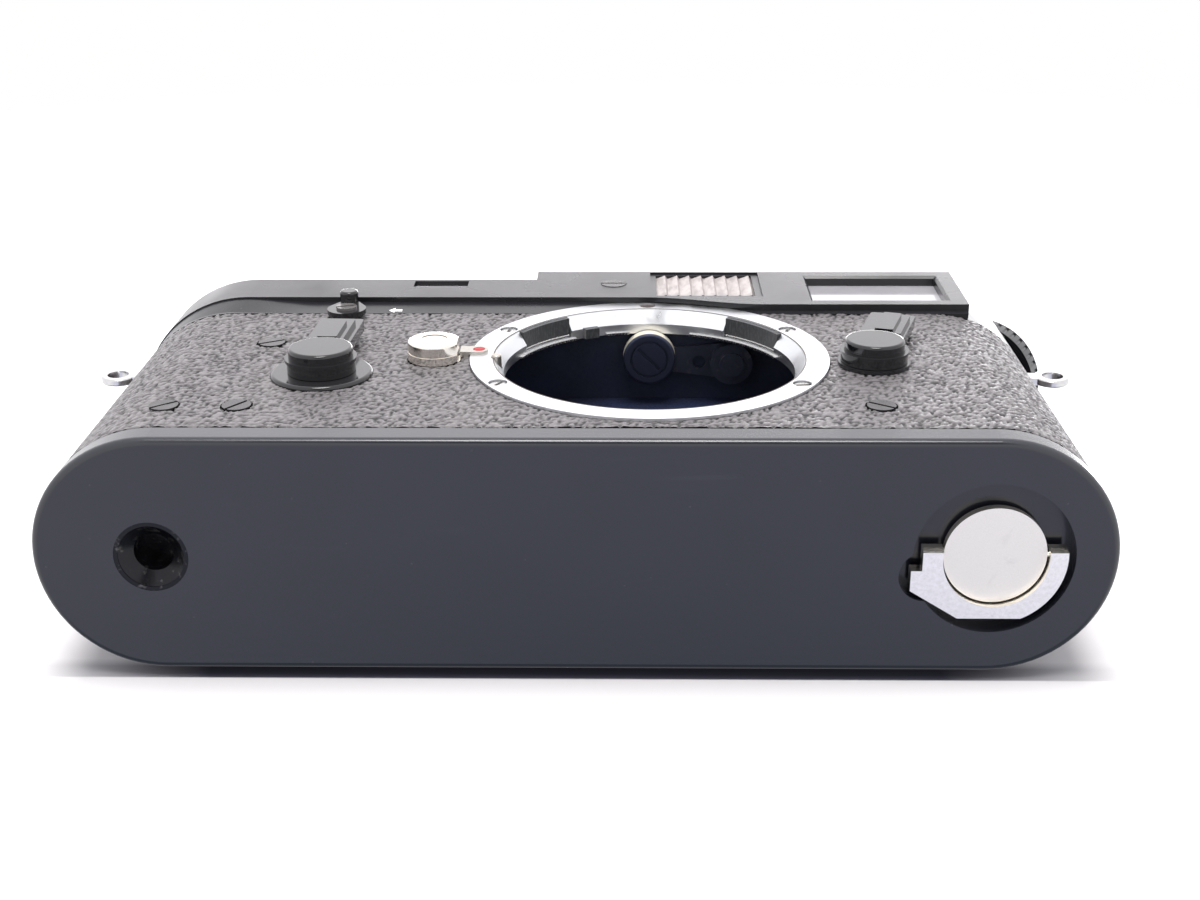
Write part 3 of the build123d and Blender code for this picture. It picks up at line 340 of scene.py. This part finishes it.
# inner casting: a darker, bluer copy of the casting, painted as the blue-tinged shade deep inside the body
inner_cast_shaded = casting("inner_casting_shaded", (0.005, 0.009, 0.030))
grain_skin = pebbled("vulcanite")
grain_edge = cut_edge("vulcanite_edge")
mount_chrome = turned_chrome("mount_chrome", mount_centre, (0, 1, 0), (0.80, 0.81, 0.83), 0.36)
button_chrome = turned_chrome("button_chrome", middle("lens_release_button"), (0, 1, 0), (0.86, 0.81, 0.74),
                              0.14, scuffs=0.15)
lug_chrome = satin_metal("lug_chrome", (0.66, 0.65, 0.645), 0.20, grain=0.5)
disc_chrome = satin_metal("disc_chrome", (0.97, 0.92, 0.84), 0.42)
wing_chrome = satin_metal("wing_chrome", (0.98, 0.94, 0.86), 0.22, grain=0.6)
tongue_metal = satin_metal("tongue_metal", (0.56, 0.53, 0.48), 0.35)
satin = satin_metal("satin_chrome", (0.78, 0.76, 0.73), 0.32)
steel = satin_metal("spring_steel", (0.66, 0.65, 0.63), 0.26, grain=0.3)
dark_steel = blackened("blackened_steel", color=(0.050, 0.056, 0.085))
screw_black = blackened("screw_black", 0.25, (0.055, 0.053, 0.055))
catch_steel = blackened("catch_steel", 0.22, (0.20, 0.19, 0.19))
roller = roller_steel("roller_steel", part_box("rangefinder_roller")[0].z)
flock = flocked("flocked_black")
tip_plastic = plastic("black_plastic", (0.020, 0.020, 0.021), 0.45, (0.035, 0.035, 0.036))
window_low, window_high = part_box("illumination_window")
ribbed = ribbed_plastic("frosted_plastic", window_low.z, window_high.z)
finder_glass = coated_glass("finder_glass", (0.30, 0.295, 0.315), metallic=0.2)
eye_glass = coated_glass("eye_glass", (0.10, 0.10, 0.14))
counter_glass = Finish("counter_glass", (0.9, 0.92, 0.92), 0.04, transmission=1.0)
counter_glass.bump(counter_glass.noise(3 * MM, 2), 0.01 * MM, 0.2)
wax = plastic("seal_wax", (0.035, 0.022, 0.020), 0.35, (0.02, 0.012, 0.012))
shutter = cloth("shutter_cloth")
brass = satin_metal("brass", (0.66, 0.53, 0.30), 0.32, grain=0.4)
socket_black = blackened("socket_black", 0.22, (0.010, 0.010, 0.013))

finishes = {
    enamel: ["top_plate", "viewfinder_frame"],
    base_enamel: ["base_plate"],
    cast: ["body_shell", "finder_block", "back_door"],
    inner_cast_shaded: ["inner_frame", "light_chamber"],
    grain_skin: ["body_covering", "door_covering"],
    mount_chrome: ["mount_ring"],
    button_chrome: ["lens_release_button"],
    lug_chrome: ["strap_lugs"],
    disc_chrome: ["lock_disc"],
    wing_chrome: ["lock_wing"],
    tongue_metal: ["lens_index_tongue", "lens_lock_pin"],
    satin: ["film_gate", "accessory_shoe"],
    steel: ["bayonet_spring", "mount_screws", "shoe_screws", "door_hinge_pin", "base_claw"],
    dark_steel: ["rangefinder_arm", "latch_cam", "pressure_plate", "film_sprocket", "frame_counter",
                 "rewind_fork"],
    screw_black: ["body_screws"],
    catch_steel: ["rewind_release_screw"],
    roller: ["rangefinder_roller"],
    flock: ["mount_baffle"],
    gloss: ["self_timer_flange", "self_timer_lever", "self_timer_cap", "frame_lever_collar",
            "frame_selector_lever", "frame_lever_cap", "rewind_release_lever", "advance_lever",
            "shutter_speed_dial", "shutter_button", "rewind_knob", "rewind_crank", "eyepiece_ring",
            "film_speed_dial"],
    tip_plastic: ["advance_lever_tip"],
    ribbed: ["illumination_window"],
    finder_glass: ["viewfinder_glass", "rangefinder_window"],
    eye_glass: ["eyepiece_glass"],
    counter_glass.material: ["counter_window"],
    wax: ["mount_seal"],
    shutter: ["shutter_curtain"],
    brass: ["sync_sockets", "shutter_rollers", "take_up_spool"],
    socket_black: ["tripod_socket"],
}
for finish, nodes in finishes.items():
    for name in nodes:
        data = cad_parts[name].data
        data.materials.clear()
        data.materials.append(finish)


# ---- making pieces ------------------------------------------------------------------
def piece(name, verts, faces, finish, body, smooth=True, replaces=()):
    """A mesh object that rides on a CAD body."""
    data = bpy.data.meshes.new(name)
    data.from_pydata([tuple(v) for v in verts], [], [tuple(f) for f in faces])
    data.validate()
    data.polygons.foreach_set("use_smooth", [smooth] * len(data.polygons))
    data.materials.append(finish)
    made = bpy.data.objects.new(name, data)
    bpy.context.scene.collection.objects.link(made)
    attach(made, body)
    if replaces:
        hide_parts(*replaces)
    return made


# ---- pebbled covering -------------------------------------------------------------------
GRAIN_CELL = 1.02 * MM     # size of one pebble
GRAIN_DEPTH = 0.34 * MM
GRAIN_STEP = 0.35 * MM     # spacing of the mesh where it shows most
BACK_STEP = 0.60 * MM      # and where it shows least
SNAP = 0.75 * GRAIN_STEP   # mesh points this near a cut edge are moved onto it


def smoothstep(x):
    x = np.clip(x, 0, 1)
    return x * x * (3 - 2 * x)


def pebble_height(u, v, around, seed):
    """Grain height from 0 in a crease to 1 on a top, at u, v in metres; u repeats after around metres.

    Each pebble belongs to a jittered cell. Creases run between cells, and some neighbours grow together.
    """
    across = max(4, round(around / GRAIN_CELL))
    x, y = u / around * across, v / GRAIN_CELL
    random = np.random.RandomState(seed)
    tall = int(y.max()) + 4     # rows of cells, with a few to spare for the wave below
    jitter = 0.5 + 0.84 * (random.rand(across, tall, 2) - 0.5)
    x = x + 0.22 * np.sin(y * 1.9 + 0.8 * np.sin(x * 0.6))
    y = y + 0.20 * np.sin(x * 1.7 + 1.1 * np.sin(y * 0.7))
    cx, cy = np.floor(x).astype(int), np.floor(y).astype(int)
    near = np.full(x.shape, 9.0)
    second = np.full(x.shape, 9.0)
    near_id = np.zeros(x.shape, int)
    second_id = np.zeros(x.shape, int)
    for i in (-1, 0, 1):
        for j in (-1, 0, 1):
            gx, gy = (cx + i) % across, (cy + j) % tall
            dx = cx + i + jitter[gx, gy, 0] - x
            dy = cy + j + jitter[gx, gy, 1] - y
            d = np.hypot(dx, dy * 0.92)
            cell = gx * tall + gy + 1
            closer = d < near
            runner_up = ~closer & (d < second)
            second = np.where(closer, near, np.where(runner_up, d, second))
            second_id = np.where(closer, near_id, np.where(runner_up, cell, second_id))
            near = np.where(closer, d, near)
            near_id = np.where(closer, cell, near_id)
    # the same random share from 0 to 1 for both sides of a crease
    pair = np.sin((near_id + second_id) * 12.9898 + (near_id * second_id % 9973) * 78.233) * 43758.5453
    grown = (pair - np.floor(pair)) < 0.34
    crease = smoothstep((second - near) / 0.26)
    crease = np.where(grown, 0.55 + 0.45 * crease, crease)
    return crease * (0.80 + 0.20 * smoothstep(1.1 - near))


def spaced(start, end, step):
    """Even spacing from start up to but not including end."""
    return np.linspace(start, end, round((end - start) / step) + 1)[:-1]


def covering(name, place, u, v, holes, boxes, body, node, around, seed, ragged=None):
    """Pebbled sheet over a grid of u and v; place(u, v, depth) puts it in the frame.

    holes are (u, v, radius) and boxes are (u0, u1, v0, v1) that pieces of the body pass through.
    around is the length after which u closes on itself, or None. ragged(u) raises the lower edge.
    """
    wraps = around is not None
    uu, vv = np.meshgrid(u, v, indexing="ij")
    if ragged is not None:
        vv = vv + ragged(uu) * np.clip(1 - vv / (2.5 * GRAIN_STEP), 0, 1)
    inside = np.zeros(uu.shape, bool)
    for hu, hv, r in holes:
        d = np.hypot(uu - hu, vv - hv)
        within = d < r
        scale = np.where(within, r / np.maximum(d, 1e-9), 1.0)
        inside |= d < r - SNAP
        move = within & (d >= r - SNAP)
        uu = np.where(move, hu + (uu - hu) * scale, uu)
        vv = np.where(move, hv + (vv - hv) * scale, vv)
    for u0, u1, v0, v1 in boxes:
        edges = np.stack([uu - u0, u1 - uu, vv - v0, v1 - vv])
        depth = edges.min(0)
        closest = edges.argmin(0)
        move = (depth > 0) & (depth <= SNAP)
        inside |= depth > SNAP
        uu = np.where(move & (closest == 0), u0, np.where(move & (closest == 1), u1, uu))
        vv = np.where(move & (closest == 2), v0, np.where(move & (closest == 3), v1, vv))
    height = pebble_height(uu, vv, around or u[-1], seed)
    outer = place(uu, vv, GRAIN_DEPTH * (1 - height)).reshape(-1, 3)
    inner = place(uu, vv, np.full(uu.shape, skin)).reshape(-1, 3)
    index = np.arange(uu.size).reshape(uu.shape)
    right = np.roll(index, -1, 0) if wraps else index[1:]
    left = index if wraps else index[:-1]
    quads = np.stack([left[:, :-1], right[:, :-1], right[:, 1:], left[:, 1:]], -1).reshape(-1, 4)
    quads = quads[~inside.ravel()[quads].any(1)]
    # close the edges down to the casting
    edges = np.concatenate([quads[:, [k, (k + 1) % 4]] for k in range(4)])
    key = np.sort(edges, 1)
    first, count = np.unique(key[:, 0] * uu.size + key[:, 1], return_index=True, return_counts=True)[1:]
    rim = edges[first[count == 1]]     # edges that belong to one quad only
    rim_points = np.unique(rim)
    below = np.full(uu.size, -1)
    used = np.unique(quads)
    renumber = np.full(uu.size, -1)
    renumber[used] = np.arange(len(used))
    below[rim_points] = len(used) + np.arange(len(rim_points))
    skirts = np.stack([renumber[rim[:, 1]], renumber[rim[:, 0]], below[rim[:, 0]], below[rim[:, 1]]], -1)
    verts = np.concatenate([outer[used], inner[rim_points]])
    faces = np.concatenate([renumber[quads], skirts])
    made = piece(name, verts, faces, grain_skin, body, replaces=[node])
    # the cut edges get the darker edge finish: matt black, darker as painted shade in the gaps round the
    # covering and its holes
    made.data.materials.append(grain_edge)
    is_edge = np.arange(len(faces)) >= len(quads)
    made.data.polygons.foreach_set("material_index", is_edge.astype(np.int32))
    made.data.polygons.foreach_set("use_smooth", ~is_edge)
    # the grain height goes to the material, which paints highlight on the tops and shade in the creases
    values = np.concatenate([height.ravel()[used], np.zeros(len(rim_points))])
    made.data.attributes.new("grain", "FLOAT", "POINT").data.foreach_set("value", values.astype(np.float32))
    return made


round_len = math.pi * skin_r
straight = 2 * end_x
perimeter = 2 * straight + 2 * round_len


def round_body(u, v, depth):
    """Point on the stadium-shaped wall: u runs along the front to the right, then round and back."""
    r = skin_r - depth
    front = u < straight
    right = (u >= straight) & (u < straight + round_len)
    back = (u >= straight + round_len) & (u < 2 * straight + round_len)
    turn = np.where(right, (u - straight) / skin_r, (u - 2 * straight - round_len) / skin_r + math.pi)
    x = np.where(front, u - end_x, np.where(back, end_x - (u - straight - round_len),
                 np.where(right, end_x, -end_x) + r * np.sin(turn)))
    y = np.where(front, -r, np.where(back, r, -r * np.cos(turn)))
    return np.stack([x, y, v + cover_low.z], -1)


def ragged_foot(u):
    """The trimmed lower edge wanders a little and is nicked here and there."""
    slow = np.sin(u / (7.3 * MM)) + np.sin(u / (3.1 * MM) + 1.7) + np.sin(u / (1.37 * MM) + 0.6)
    random = np.random.RandomState(5)
    count = 90
    nick_at = random.rand(count) * perimeter
    nick_wide = (0.3 + 1.3 * random.rand(count)) * MM
    nicks = np.zeros(u.shape)
    for at, width in zip(nick_at, nick_wide):
        nicks = np.maximum(nicks, np.clip(1 - np.abs(u - at) / width, 0, 1))
    worn = np.exp(-((u - 64 * MM) / (15 * MM)) ** 2)     # rubbed away below the lens
    wander, nick_deep, worn_deep = 0.01485 * MM, 0.34 * MM, 0.30 * MM
    return wander * (slow + 3) + nick_deep * nicks + worn_deep * worn


def hole_at(x, z, radius):
    """A round hole in the front covering, as u, v and radius."""
    return (x + end_x, z - cover_low.z, radius)


def hole_round(node, radius=None, grow=0.0):
    """A hole about this node, either of this radius or grown a little past the node's edge."""
    low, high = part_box(node)
    at = middle(node)
    return hole_at(at.x, at.z, radius or (high.x - low.x) / 2 + grow)


case_screws = [(-53.5, 12.0), (-44.0, 12.0), (-44.45, 38.0), (39.7, 12.3)]    # x and z in millimetres
screw_hole = 2.12 * MM
front_holes = [hole_at(x * MM, z * MM, screw_hole) for x, z in case_screws]
front_holes += [
    hole_round("mount_ring", grow=0.06 * MM),
    hole_round("lens_release_button", grow=0.12 * MM),
    hole_round("self_timer_flange", radius=2.2 * MM),
    hole_round("frame_lever_collar", radius=2.0 * MM),
    hole_round("rewind_release_screw", radius=1.1 * MM),
]
back_start = straight + round_len
door_gap = 0.2 * MM
door_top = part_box("door_hinge_pin")[1].z + 0.5 * MM - cover_low.z
body_boxes = [(back_start + end_x - door_high.x - door_gap, back_start + end_x - door_low.x + door_gap,
               -1 * MM, door_top)]
lug = middle("strap_lugs")
lug_angle = math.acos(-lug.y / skin_r)
for s in (straight + skin_r * lug_angle, perimeter - skin_r * lug_angle):
    body_boxes.append((s - 0.9 * MM, s + 0.9 * MM, lug.z - 1.35 * MM - cover_low.z, 60 * MM))
turned = straight + 0.4 * round_len           # the wall has turned away from the front here
turned_back = perimeter - 0.4 * round_len     # and comes round to it again here
around_body = np.concatenate([spaced(0, turned, GRAIN_STEP), spaced(turned, turned_back, BACK_STEP),
                              spaced(turned_back, perimeter, GRAIN_STEP)])
up_body = np.append(spaced(0, cover_high.z - cover_low.z, GRAIN_STEP), cover_high.z - cover_low.z)
covering("covering_grain", round_body, around_body, up_body, front_holes, body_boxes, "camera_body",
         "body_covering", perimeter, 11, ragged_foot)


def flat_door(u, v, depth):
    """Point on the door: u runs from its right edge in a front view, v up from its foot."""
    return np.stack([door_high.x - u, door_high.y - depth, v + door_low.z], -1)


dial_at = middle("film_speed_dial")
dial_hole = 11.6 * MM
door_wide, door_tall = door_high.x - door_low.x, door_high.z - door_low.z
covering("door_grain", flat_door, np.append(spaced(0, door_wide, GRAIN_STEP), door_wide),
         np.append(spaced(0, door_tall, GRAIN_STEP), door_tall),
         [(door_high.x - dial_at.x, dial_at.z - door_low.z, dial_hole)], [], "door", "door_covering",
         None, 23)


# ---- lathed, swept and lettered details ----------------------------------------------------
def axes_of(axis, up):
    """Right, up and outward unit vectors of a face whose normal is axis."""
    out = Vector(axis).normalized()
    up = (Vector(up) - Vector(up).dot(out) * out).normalized()
    return up.cross(out), up, out


def lathe(name, centre, axis, profile, finish, body, segments=72, up=(0, 0, 1)):
    """Round piece: profile is (radius, height) points in millimetres, from the axis outwards and round."""
    right, up, out = axes_of(axis, up)
    verts, faces = [], []
    count = len(profile)
    for k in range(segments):
        a = 2 * math.pi * k / segments
        spoke = right * math.cos(a) + up * math.sin(a)
        verts += [Vector(centre) + spoke * (r * MM) + out * (h * MM) for r, h in profile]
    for k in range(segments):
        n = (k + 1) % segments
        faces += [(k * count + i, n * count + i, n * count + (i + 1) % count, k * count + (i + 1) % count)
                  for i in range(count - 1)]
    first, last = profile[0][0], profile[-1][0]
    if first > 0 and last > 0:
        faces += [(k * count + count - 1, ((k + 1) % segments) * count + count - 1,
                   ((k + 1) % segments) * count, k * count) for k in range(segments)]
    made = piece(name, verts, faces, finish, body)
    tidy = bmesh.new()
    tidy.from_mesh(made.data)
    bmesh.ops.remove_doubles(tidy, verts=tidy.verts, dist=0.002 * MM)
    bmesh.ops.recalc_face_normals(tidy, faces=tidy.faces)
    tidy.to_mesh(made.data)
    tidy.free()
    made.data.set_sharp_from_angle(angle=math.radians(35))
    return made


def sweep(name, path, radius, finish, body, sides=8):
    """Tube along a list of points; radius is a number or one number for each point, in metres."""
    count = len(path)
    radii = radius if hasattr(radius, "__len__") else [radius] * count
    verts, faces = [], []
    for i, at in enumerate(path):
        ahead = (path[min(i + 1, count - 1)] - path[max(i - 1, 0)]).normalized()
        side = ahead.cross(Vector((0, 1, 0))).normalized()
        other = ahead.cross(side)
        for k in range(sides):
            a = 2 * math.pi * k / sides
            verts.append(at + (side * math.cos(a) + other * math.sin(a)) * radii[i])
    for i in range(count - 1):
        for k in range(sides):
            n = (k + 1) % sides
            faces.append((i * sides + k, i * sides + n, (i + 1) * sides + n, (i + 1) * sides + k))
    faces.append(tuple(range(sides)))
    faces.append(tuple((count - 1) * sides + k for k in reversed(range(sides))))
    return piece(name, verts, faces, finish, body)


def lettering(name, words, finish, body, thick=0.03 * MM):
    """One mesh of raised numbers: words are (text, size, place matrix)."""
    joined = bmesh.new()
    for text, size, place in words:
        curve = bpy.data.curves.new(name, "FONT")
        curve.body = text
        curve.size = size
        curve.extrude = thick / 2
        curve.align_x = "CENTER"
        curve.align_y = "CENTER"
        curve.resolution_u = 4
        made = bpy.data.objects.new(name, curve)
        bpy.context.scene.collection.objects.link(made)
        bpy.context.view_layer.update()
        shape = bpy.data.meshes.new_from_object(made)
        shape.transform(place)
        joined.from_mesh(shape)
        bpy.data.objects.remove(made)
        bpy.data.meshes.remove(shape)
        bpy.data.curves.remove(curve)
    data = bpy.data.meshes.new(name)
    joined.to_mesh(data)
    joined.free()
    data.materials.append(finish)
    made = bpy.data.objects.new(name, data)
    bpy.context.scene.collection.objects.link(made)
    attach(made, body)
    return made


def placed(centre, right, up, out):
    """Matrix that puts a local X, Y, Z on these directions."""
    m = Matrix((right, up, out)).transposed().to_4x4()
    m.translation = centre
    return m


def dial_numbers(name, numbers, centre, axis, up, radius, size, finish, body, sweep_deg, start_deg):
    """Numbers set round a dial face, each with its foot towards the centre."""
    right, up, out = axes_of(axis, up)
    words = []
    for k, text in enumerate(numbers):
        a = math.radians(start_deg - sweep_deg * k / max(1, len(numbers) - 1))
        spoke = right * math.cos(a) + up * math.sin(a)
        words.append((text, size, placed(Vector(centre) + spoke * radius, spoke.cross(out) * -1, spoke, out)))
    return lettering(name, words, finish, body)


white_ink = ink("white_ink", (0.80, 0.79, 0.76))
red_ink = ink("red_ink", (0.26, 0.006, 0.010))
dark_line = ink("dark_line", (0.06, 0.05, 0.04))

# red index on the mount's tongue
tongue_low, tongue_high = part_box("lens_index_tongue")
dot_at = Vector((-14.1 * MM, tongue_low.y + 0.16 * MM, (tongue_low.z + tongue_high.z) / 2))
lathe("index_dot", dot_at, (0, -1, 0),
      [(0, -0.02), (0.82, -0.02), (0.82, 0.07), (0.7, 0.14), (0.4, 0.19), (0, 0.2)],
      red_ink, "camera_body", 40)

# thin engraved arc on the release button
button_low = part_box("lens_release_button")[0]
button_at = Vector((button_low.x + 3.7 * MM, button_low.y, middle("lens_release_button").z))
arc_r = 1.9 * MM
arc = [button_at + Vector((arc_r * math.cos(a), 0.01 * MM, arc_r * math.sin(a)))
       for a in np.linspace(math.radians(28), math.radians(152), 30)]
sweep("button_arc", arc, 0.09 * MM, dark_line, "lens_release")

# index arrow beside the rewind catch
mark_x, mark_z = -28.5 * MM, 53.1 * MM
skirt_lean = 0.5 / 4.4     # the top plate's skirt comes forward this much for its height
arrow = [(-1.0, -0.32), (0.1, -0.32), (0.1, -0.85), (1.0, 0.0), (0.1, 0.85), (0.1, 0.32), (-1.0, 0.32)]
verts = []
for rise in (0.03 * MM, -0.02 * MM):
    for x, z in arrow:
        up_skirt = mark_z + z * MM - cover_high.z
        verts.append(Vector((mark_x - x * MM, -skin_r - rise - skirt_lean * up_skirt, mark_z + z * MM)))
n = len(arrow)
faces = [tuple(range(n)), tuple(range(2 * n - 1, n - 1, -1))]
faces += [(k, k + n, (k + 1) % n + n, (k + 1) % n) for k in range(n)]
piece("rewind_mark", verts, faces, white_ink, "camera_body", smooth=False)

# fine turned line where the flange's face meets its bevel
line_at = Vector((mount_centre.x, mount_low.y, mount_centre.z))
lathe("flange_line", line_at, (0, -1, 0), [(21.74, -0.03), (21.74, 0.012), (21.90, 0.012), (21.90, -0.03)],
      dark_line, "camera_body", 180)

# beaded edges of the dark arcs in the throat
bead_r, bead_deep, bead_steps = 20.95 * MM, 2.75 * MM, 110
bead_centre = Vector((mount_centre.x, mount_low.y + bead_deep, mount_centre.z))
for side, (a0, a1) in {"left": (124.5, 150), "right": (27.5, 56)}.items():
    line = [bead_centre + Vector((bead_r * math.cos(a), 0, bead_r * math.sin(a)))
            for a in np.linspace(math.radians(a1), math.radians(a0), bead_steps)]
    beads = [(0.10 + 0.045 * math.sin(i * 2.1)) * MM for i in range(bead_steps)]
    sweep(f"baffle_edge_{side}", line, beads, steel, "camera_body")

# shutter speed dial: numbers and centre cap
above = Vector((0, 0, 0.01 * MM))    # lifts the numbers clear of the face they are on
speed_at = top_of("shutter_speed_dial")
speeds = ["1", "2", "4", "8", "15", "30", "50", "60", "125", "250", "500", "1000"]
dial_numbers("speed_numbers", speeds, speed_at + above, (0, 0, 1), (0, 1, 0), 5.9 * MM, 1.75 * MM,
             white_ink, "speed_dial", 320, 250)
lathe("speed_dial_cap", speed_at, (0, 0, 1),
      [(0, -0.1), (2.6, -0.1), (2.6, 0.10), (2.45, 0.25), (1.5, 0.25), (1.4, 0.15), (0, 0.15)],
      gloss, "speed_dial", up=(0, 1, 0))

# frame counter numbers under the window
dial_numbers("counter_numbers", [str(k) for k in range(0, 40, 4)], top_of("frame_counter") + above,
             (0, 0, 1), (0, 1, 0), 3.3 * MM, 1.15 * MM, white_ink, "counter", 324, 180)

# film speed dial on the door
film_at = Vector((dial_at.x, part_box("film_speed_dial")[1].y, dial_at.z))
film_speeds = ["25", "50", "100", "200", "400", "800", "1600", "3200"]
behind = Vector((0, 0.01 * MM, 0))
dial_numbers("film_speed_numbers", film_speeds, film_at + behind, (0, 1, 0), (0, 0, 1), 8.7 * MM, 1.9 * MM,
             white_ink, "film_dial", 310, 245)
lathe("film_dial_plate", film_at, (0, 1, 0),
      [(0, -0.1), (5.4, -0.1), (5.4, 0.0), (5.25, 0.22), (4.9, 0.22), (4.7, 0.1), (1.5, 0.1), (1.3, 0.2),
       (0, 0.22)],
      satin, "film_dial")


# ---- camera, stage and light ---------------------------------------------------------------
camera_data = bpy.data.cameras.new("camera")
camera_data.lens = 50.92
camera_data.sensor_width = 36
camera_data.clip_start = 0.01
camera_data.clip_end = 20
camera = bpy.data.objects.new("camera", camera_data)
camera.location = (6.854 * MM, -92.934 * MM, -193.991 * MM)
camera.rotation_euler = Euler([math.radians(a) for a in (158.058, -0.909, 0.238)])
bpy.context.scene.collection.objects.link(camera)
bpy.context.scene.camera = camera


def one_sided(name, color, centre, fade_from, fade_to, contact_shadow=False):
    """White ground seen from one side only, which fades out away from the object.

    If told to, a thin strip of painted contact shadow lies along it where the base's edge nearly touches.
    """
    made = Finish(name, color, 0.9, ior=1.2)
    away = made.node("ShaderNodeVectorMath", {0: made.coords, 1: tuple(centre)}, operation="DISTANCE")
    fade = made.remap(away.outputs["Value"], fade_from, fade_to, 0, 1)
    made.tint(made.remap(made.noise(90 * MM, 2), 0.3, 0.7, 0, 0.3), [c * 0.98 for c in color])
    if contact_shadow:
        # painted contact shadow: dark just behind the base's back edge, fading out towards the camera's ends
        foot = made.remap(made.coordinate("Z"), -0.15 * MM, 0.15 * MM, 0, 1)
        head = made.remap(made.coordinate("Z"), 3 * MM, 5 * MM, 1, 0)
        ends = made.remap(made.math("ABSOLUTE", made.coordinate("X")), 48 * MM, 74 * MM, 1, 0)
        made.tint(made.math("MULTIPLY", made.math("MULTIPLY", foot, head), ends), (0.05, 0.05, 0.07))
    back = made.node("ShaderNodeNewGeometry").outputs["Backfacing"]
    hide = made.math("MAXIMUM", fade, back)
    clear = made.node("ShaderNodeBsdfTransparent").outputs[0]
    both = made.node("ShaderNodeMixShader", {0: hide, 1: made.shader.outputs[0], 2: clear}).outputs[0]
    made.tree.links.new(both, made.tree.nodes["Material Output"].inputs["Surface"])
    return made.material


def ground(name, centre, normal, size, finish):
    """Square ground that only the camera sees, so that it neither shades nor mirrors in the object."""
    right, up = axes_of(normal, (0.01, 0.3, 1) if abs(normal[1]) > 0.5 else (0, 1, 0))[:2]
    corners = [Vector(centre) + right * (a * size) + up * (b * size) for a, b in
               ((-1, -1), (1, -1), (1, 1), (-1, 1))]
    data = bpy.data.meshes.new(name)
    data.from_pydata([tuple(c) for c in corners], [], [(0, 1, 2, 3)])
    data.materials.append(finish)
    made = bpy.data.objects.new(name, data)
    bpy.context.scene.collection.objects.link(made)
    for way in ("visible_diffuse", "visible_glossy", "visible_transmission", "visible_shadow"):
        setattr(made, way, False)


table_at = Vector((0, cover_high.y + 1.3 * MM, 0))    # the back of the camera rests on it
floor_at = Vector((0, 0, cad_low.z - 0.05 * MM))
# the table carries the strip of painted contact shadow under the base's edge
table_white = one_sided("table_white", (0.58, 0.57, 0.585), table_at, 0.20, 0.45, contact_shadow=True)
floor_white = one_sided("floor_white", (0.90, 0.90, 0.905), floor_at, 0.20, 0.50)
ground("table", table_at, (0, -1, 0), 0.6, table_white)
ground("floor", floor_at, (0, 0, 1), 0.6, floor_white)


def light(name, at, target, size, energy, color=(1, 1, 1), mirrored=True):
    """Soft light aimed at target; one that isn't mirrored lights the object and doesn't shine in it."""
    data = bpy.data.lights.new(name, "AREA")
    data.shape = "RECTANGLE"
    data.size, data.size_y = size
    data.energy = energy
    data.color = color
    made = bpy.data.objects.new(name, data)
    made.location = at
    made.rotation_mode = "QUATERNION"
    made.rotation_quaternion = (Vector(target) - Vector(at)).to_track_quat("-Z", "Y")
    made.visible_camera = False
    made.visible_glossy = mirrored
    bpy.context.scene.collection.objects.link(made)


light("softbox_front", (-0.05, -0.75, 0.12), (0, 0, 0.03), (0.55, 0.32), 9, (1.0, 0.985, 0.97),
      mirrored=False)
light("softbox_top", (0.05, 0.15, 0.85), (0, 0, 0.05), (0.7, 0.5), 7)
light("softbox_back", (0.2, 0.8, 0.45), (0, 0, 0.04), (0.5, 0.4), 6, mirrored=False)

world = bpy.data.worlds.new("studio")
world.use_nodes = True
bpy.context.scene.world = world
sky = world.node_tree
sky_direction = add_node(sky, "ShaderNodeTexCoord").outputs["Generated"]


def sky_patch(tone, direction, inner_deg, outer_deg, color):
    """Blends the surroundings towards a colour within a cone about a direction."""
    toward = tuple(Vector(direction).normalized())
    dot = add_node(sky, "ShaderNodeVectorMath", {0: sky_direction, 1: toward}, operation="DOT_PRODUCT")
    share = add_node(sky, "ShaderNodeMapRange", {"Value": dot.outputs["Value"],
                                                 "From Min": math.cos(math.radians(outer_deg)),
                                                 "From Max": math.cos(math.radians(inner_deg))})
    return blend(sky, share.outputs[0], tone, color)


tone = (1.25, 1.25, 1.28, 1)
tone = sky_patch(tone, (0, -0.37, 0.93), 15, 50, (1.65, 1.62, 1.66))    # bright wall behind the camera's top
tone = sky_patch(tone, (0, 0.55, -0.83), 5, 40, (0.86, 0.88, 1.12))     # shaded table in front of the camera
tone = sky_patch(tone, (0, 0.966, -0.259), 38, 50, (0.20, 0.25, 0.30))  # the table under the base's edge
tone = sky_patch(tone, (0, 0.87, 0.49), 30, 48, (0.30, 0.30, 0.33))     # the table behind the camera
tone = sky_patch(tone, (0.03, -0.70, -0.71), 10, 22, (0.08, 0.08, 0.09))   # the person behind the view
tone = sky_patch(tone, (0.0, -0.97, -0.24), 8, 14, (14.0, 13.8, 13.5))     # lamp facing the lens mount
seen = add_node(sky, "ShaderNodeLightPath").outputs["Is Camera Ray"]
sky.links.new(blend(sky, seen, tone, (1.0, 1.0, 1.0)), sky.nodes["Background"].inputs["Color"])
sky.nodes["Background"].inputs["Strength"].default_value = 1.0

bpy.context.scene.view_settings.view_transform = "Standard"
bpy.context.scene.view_settings.look = "None"
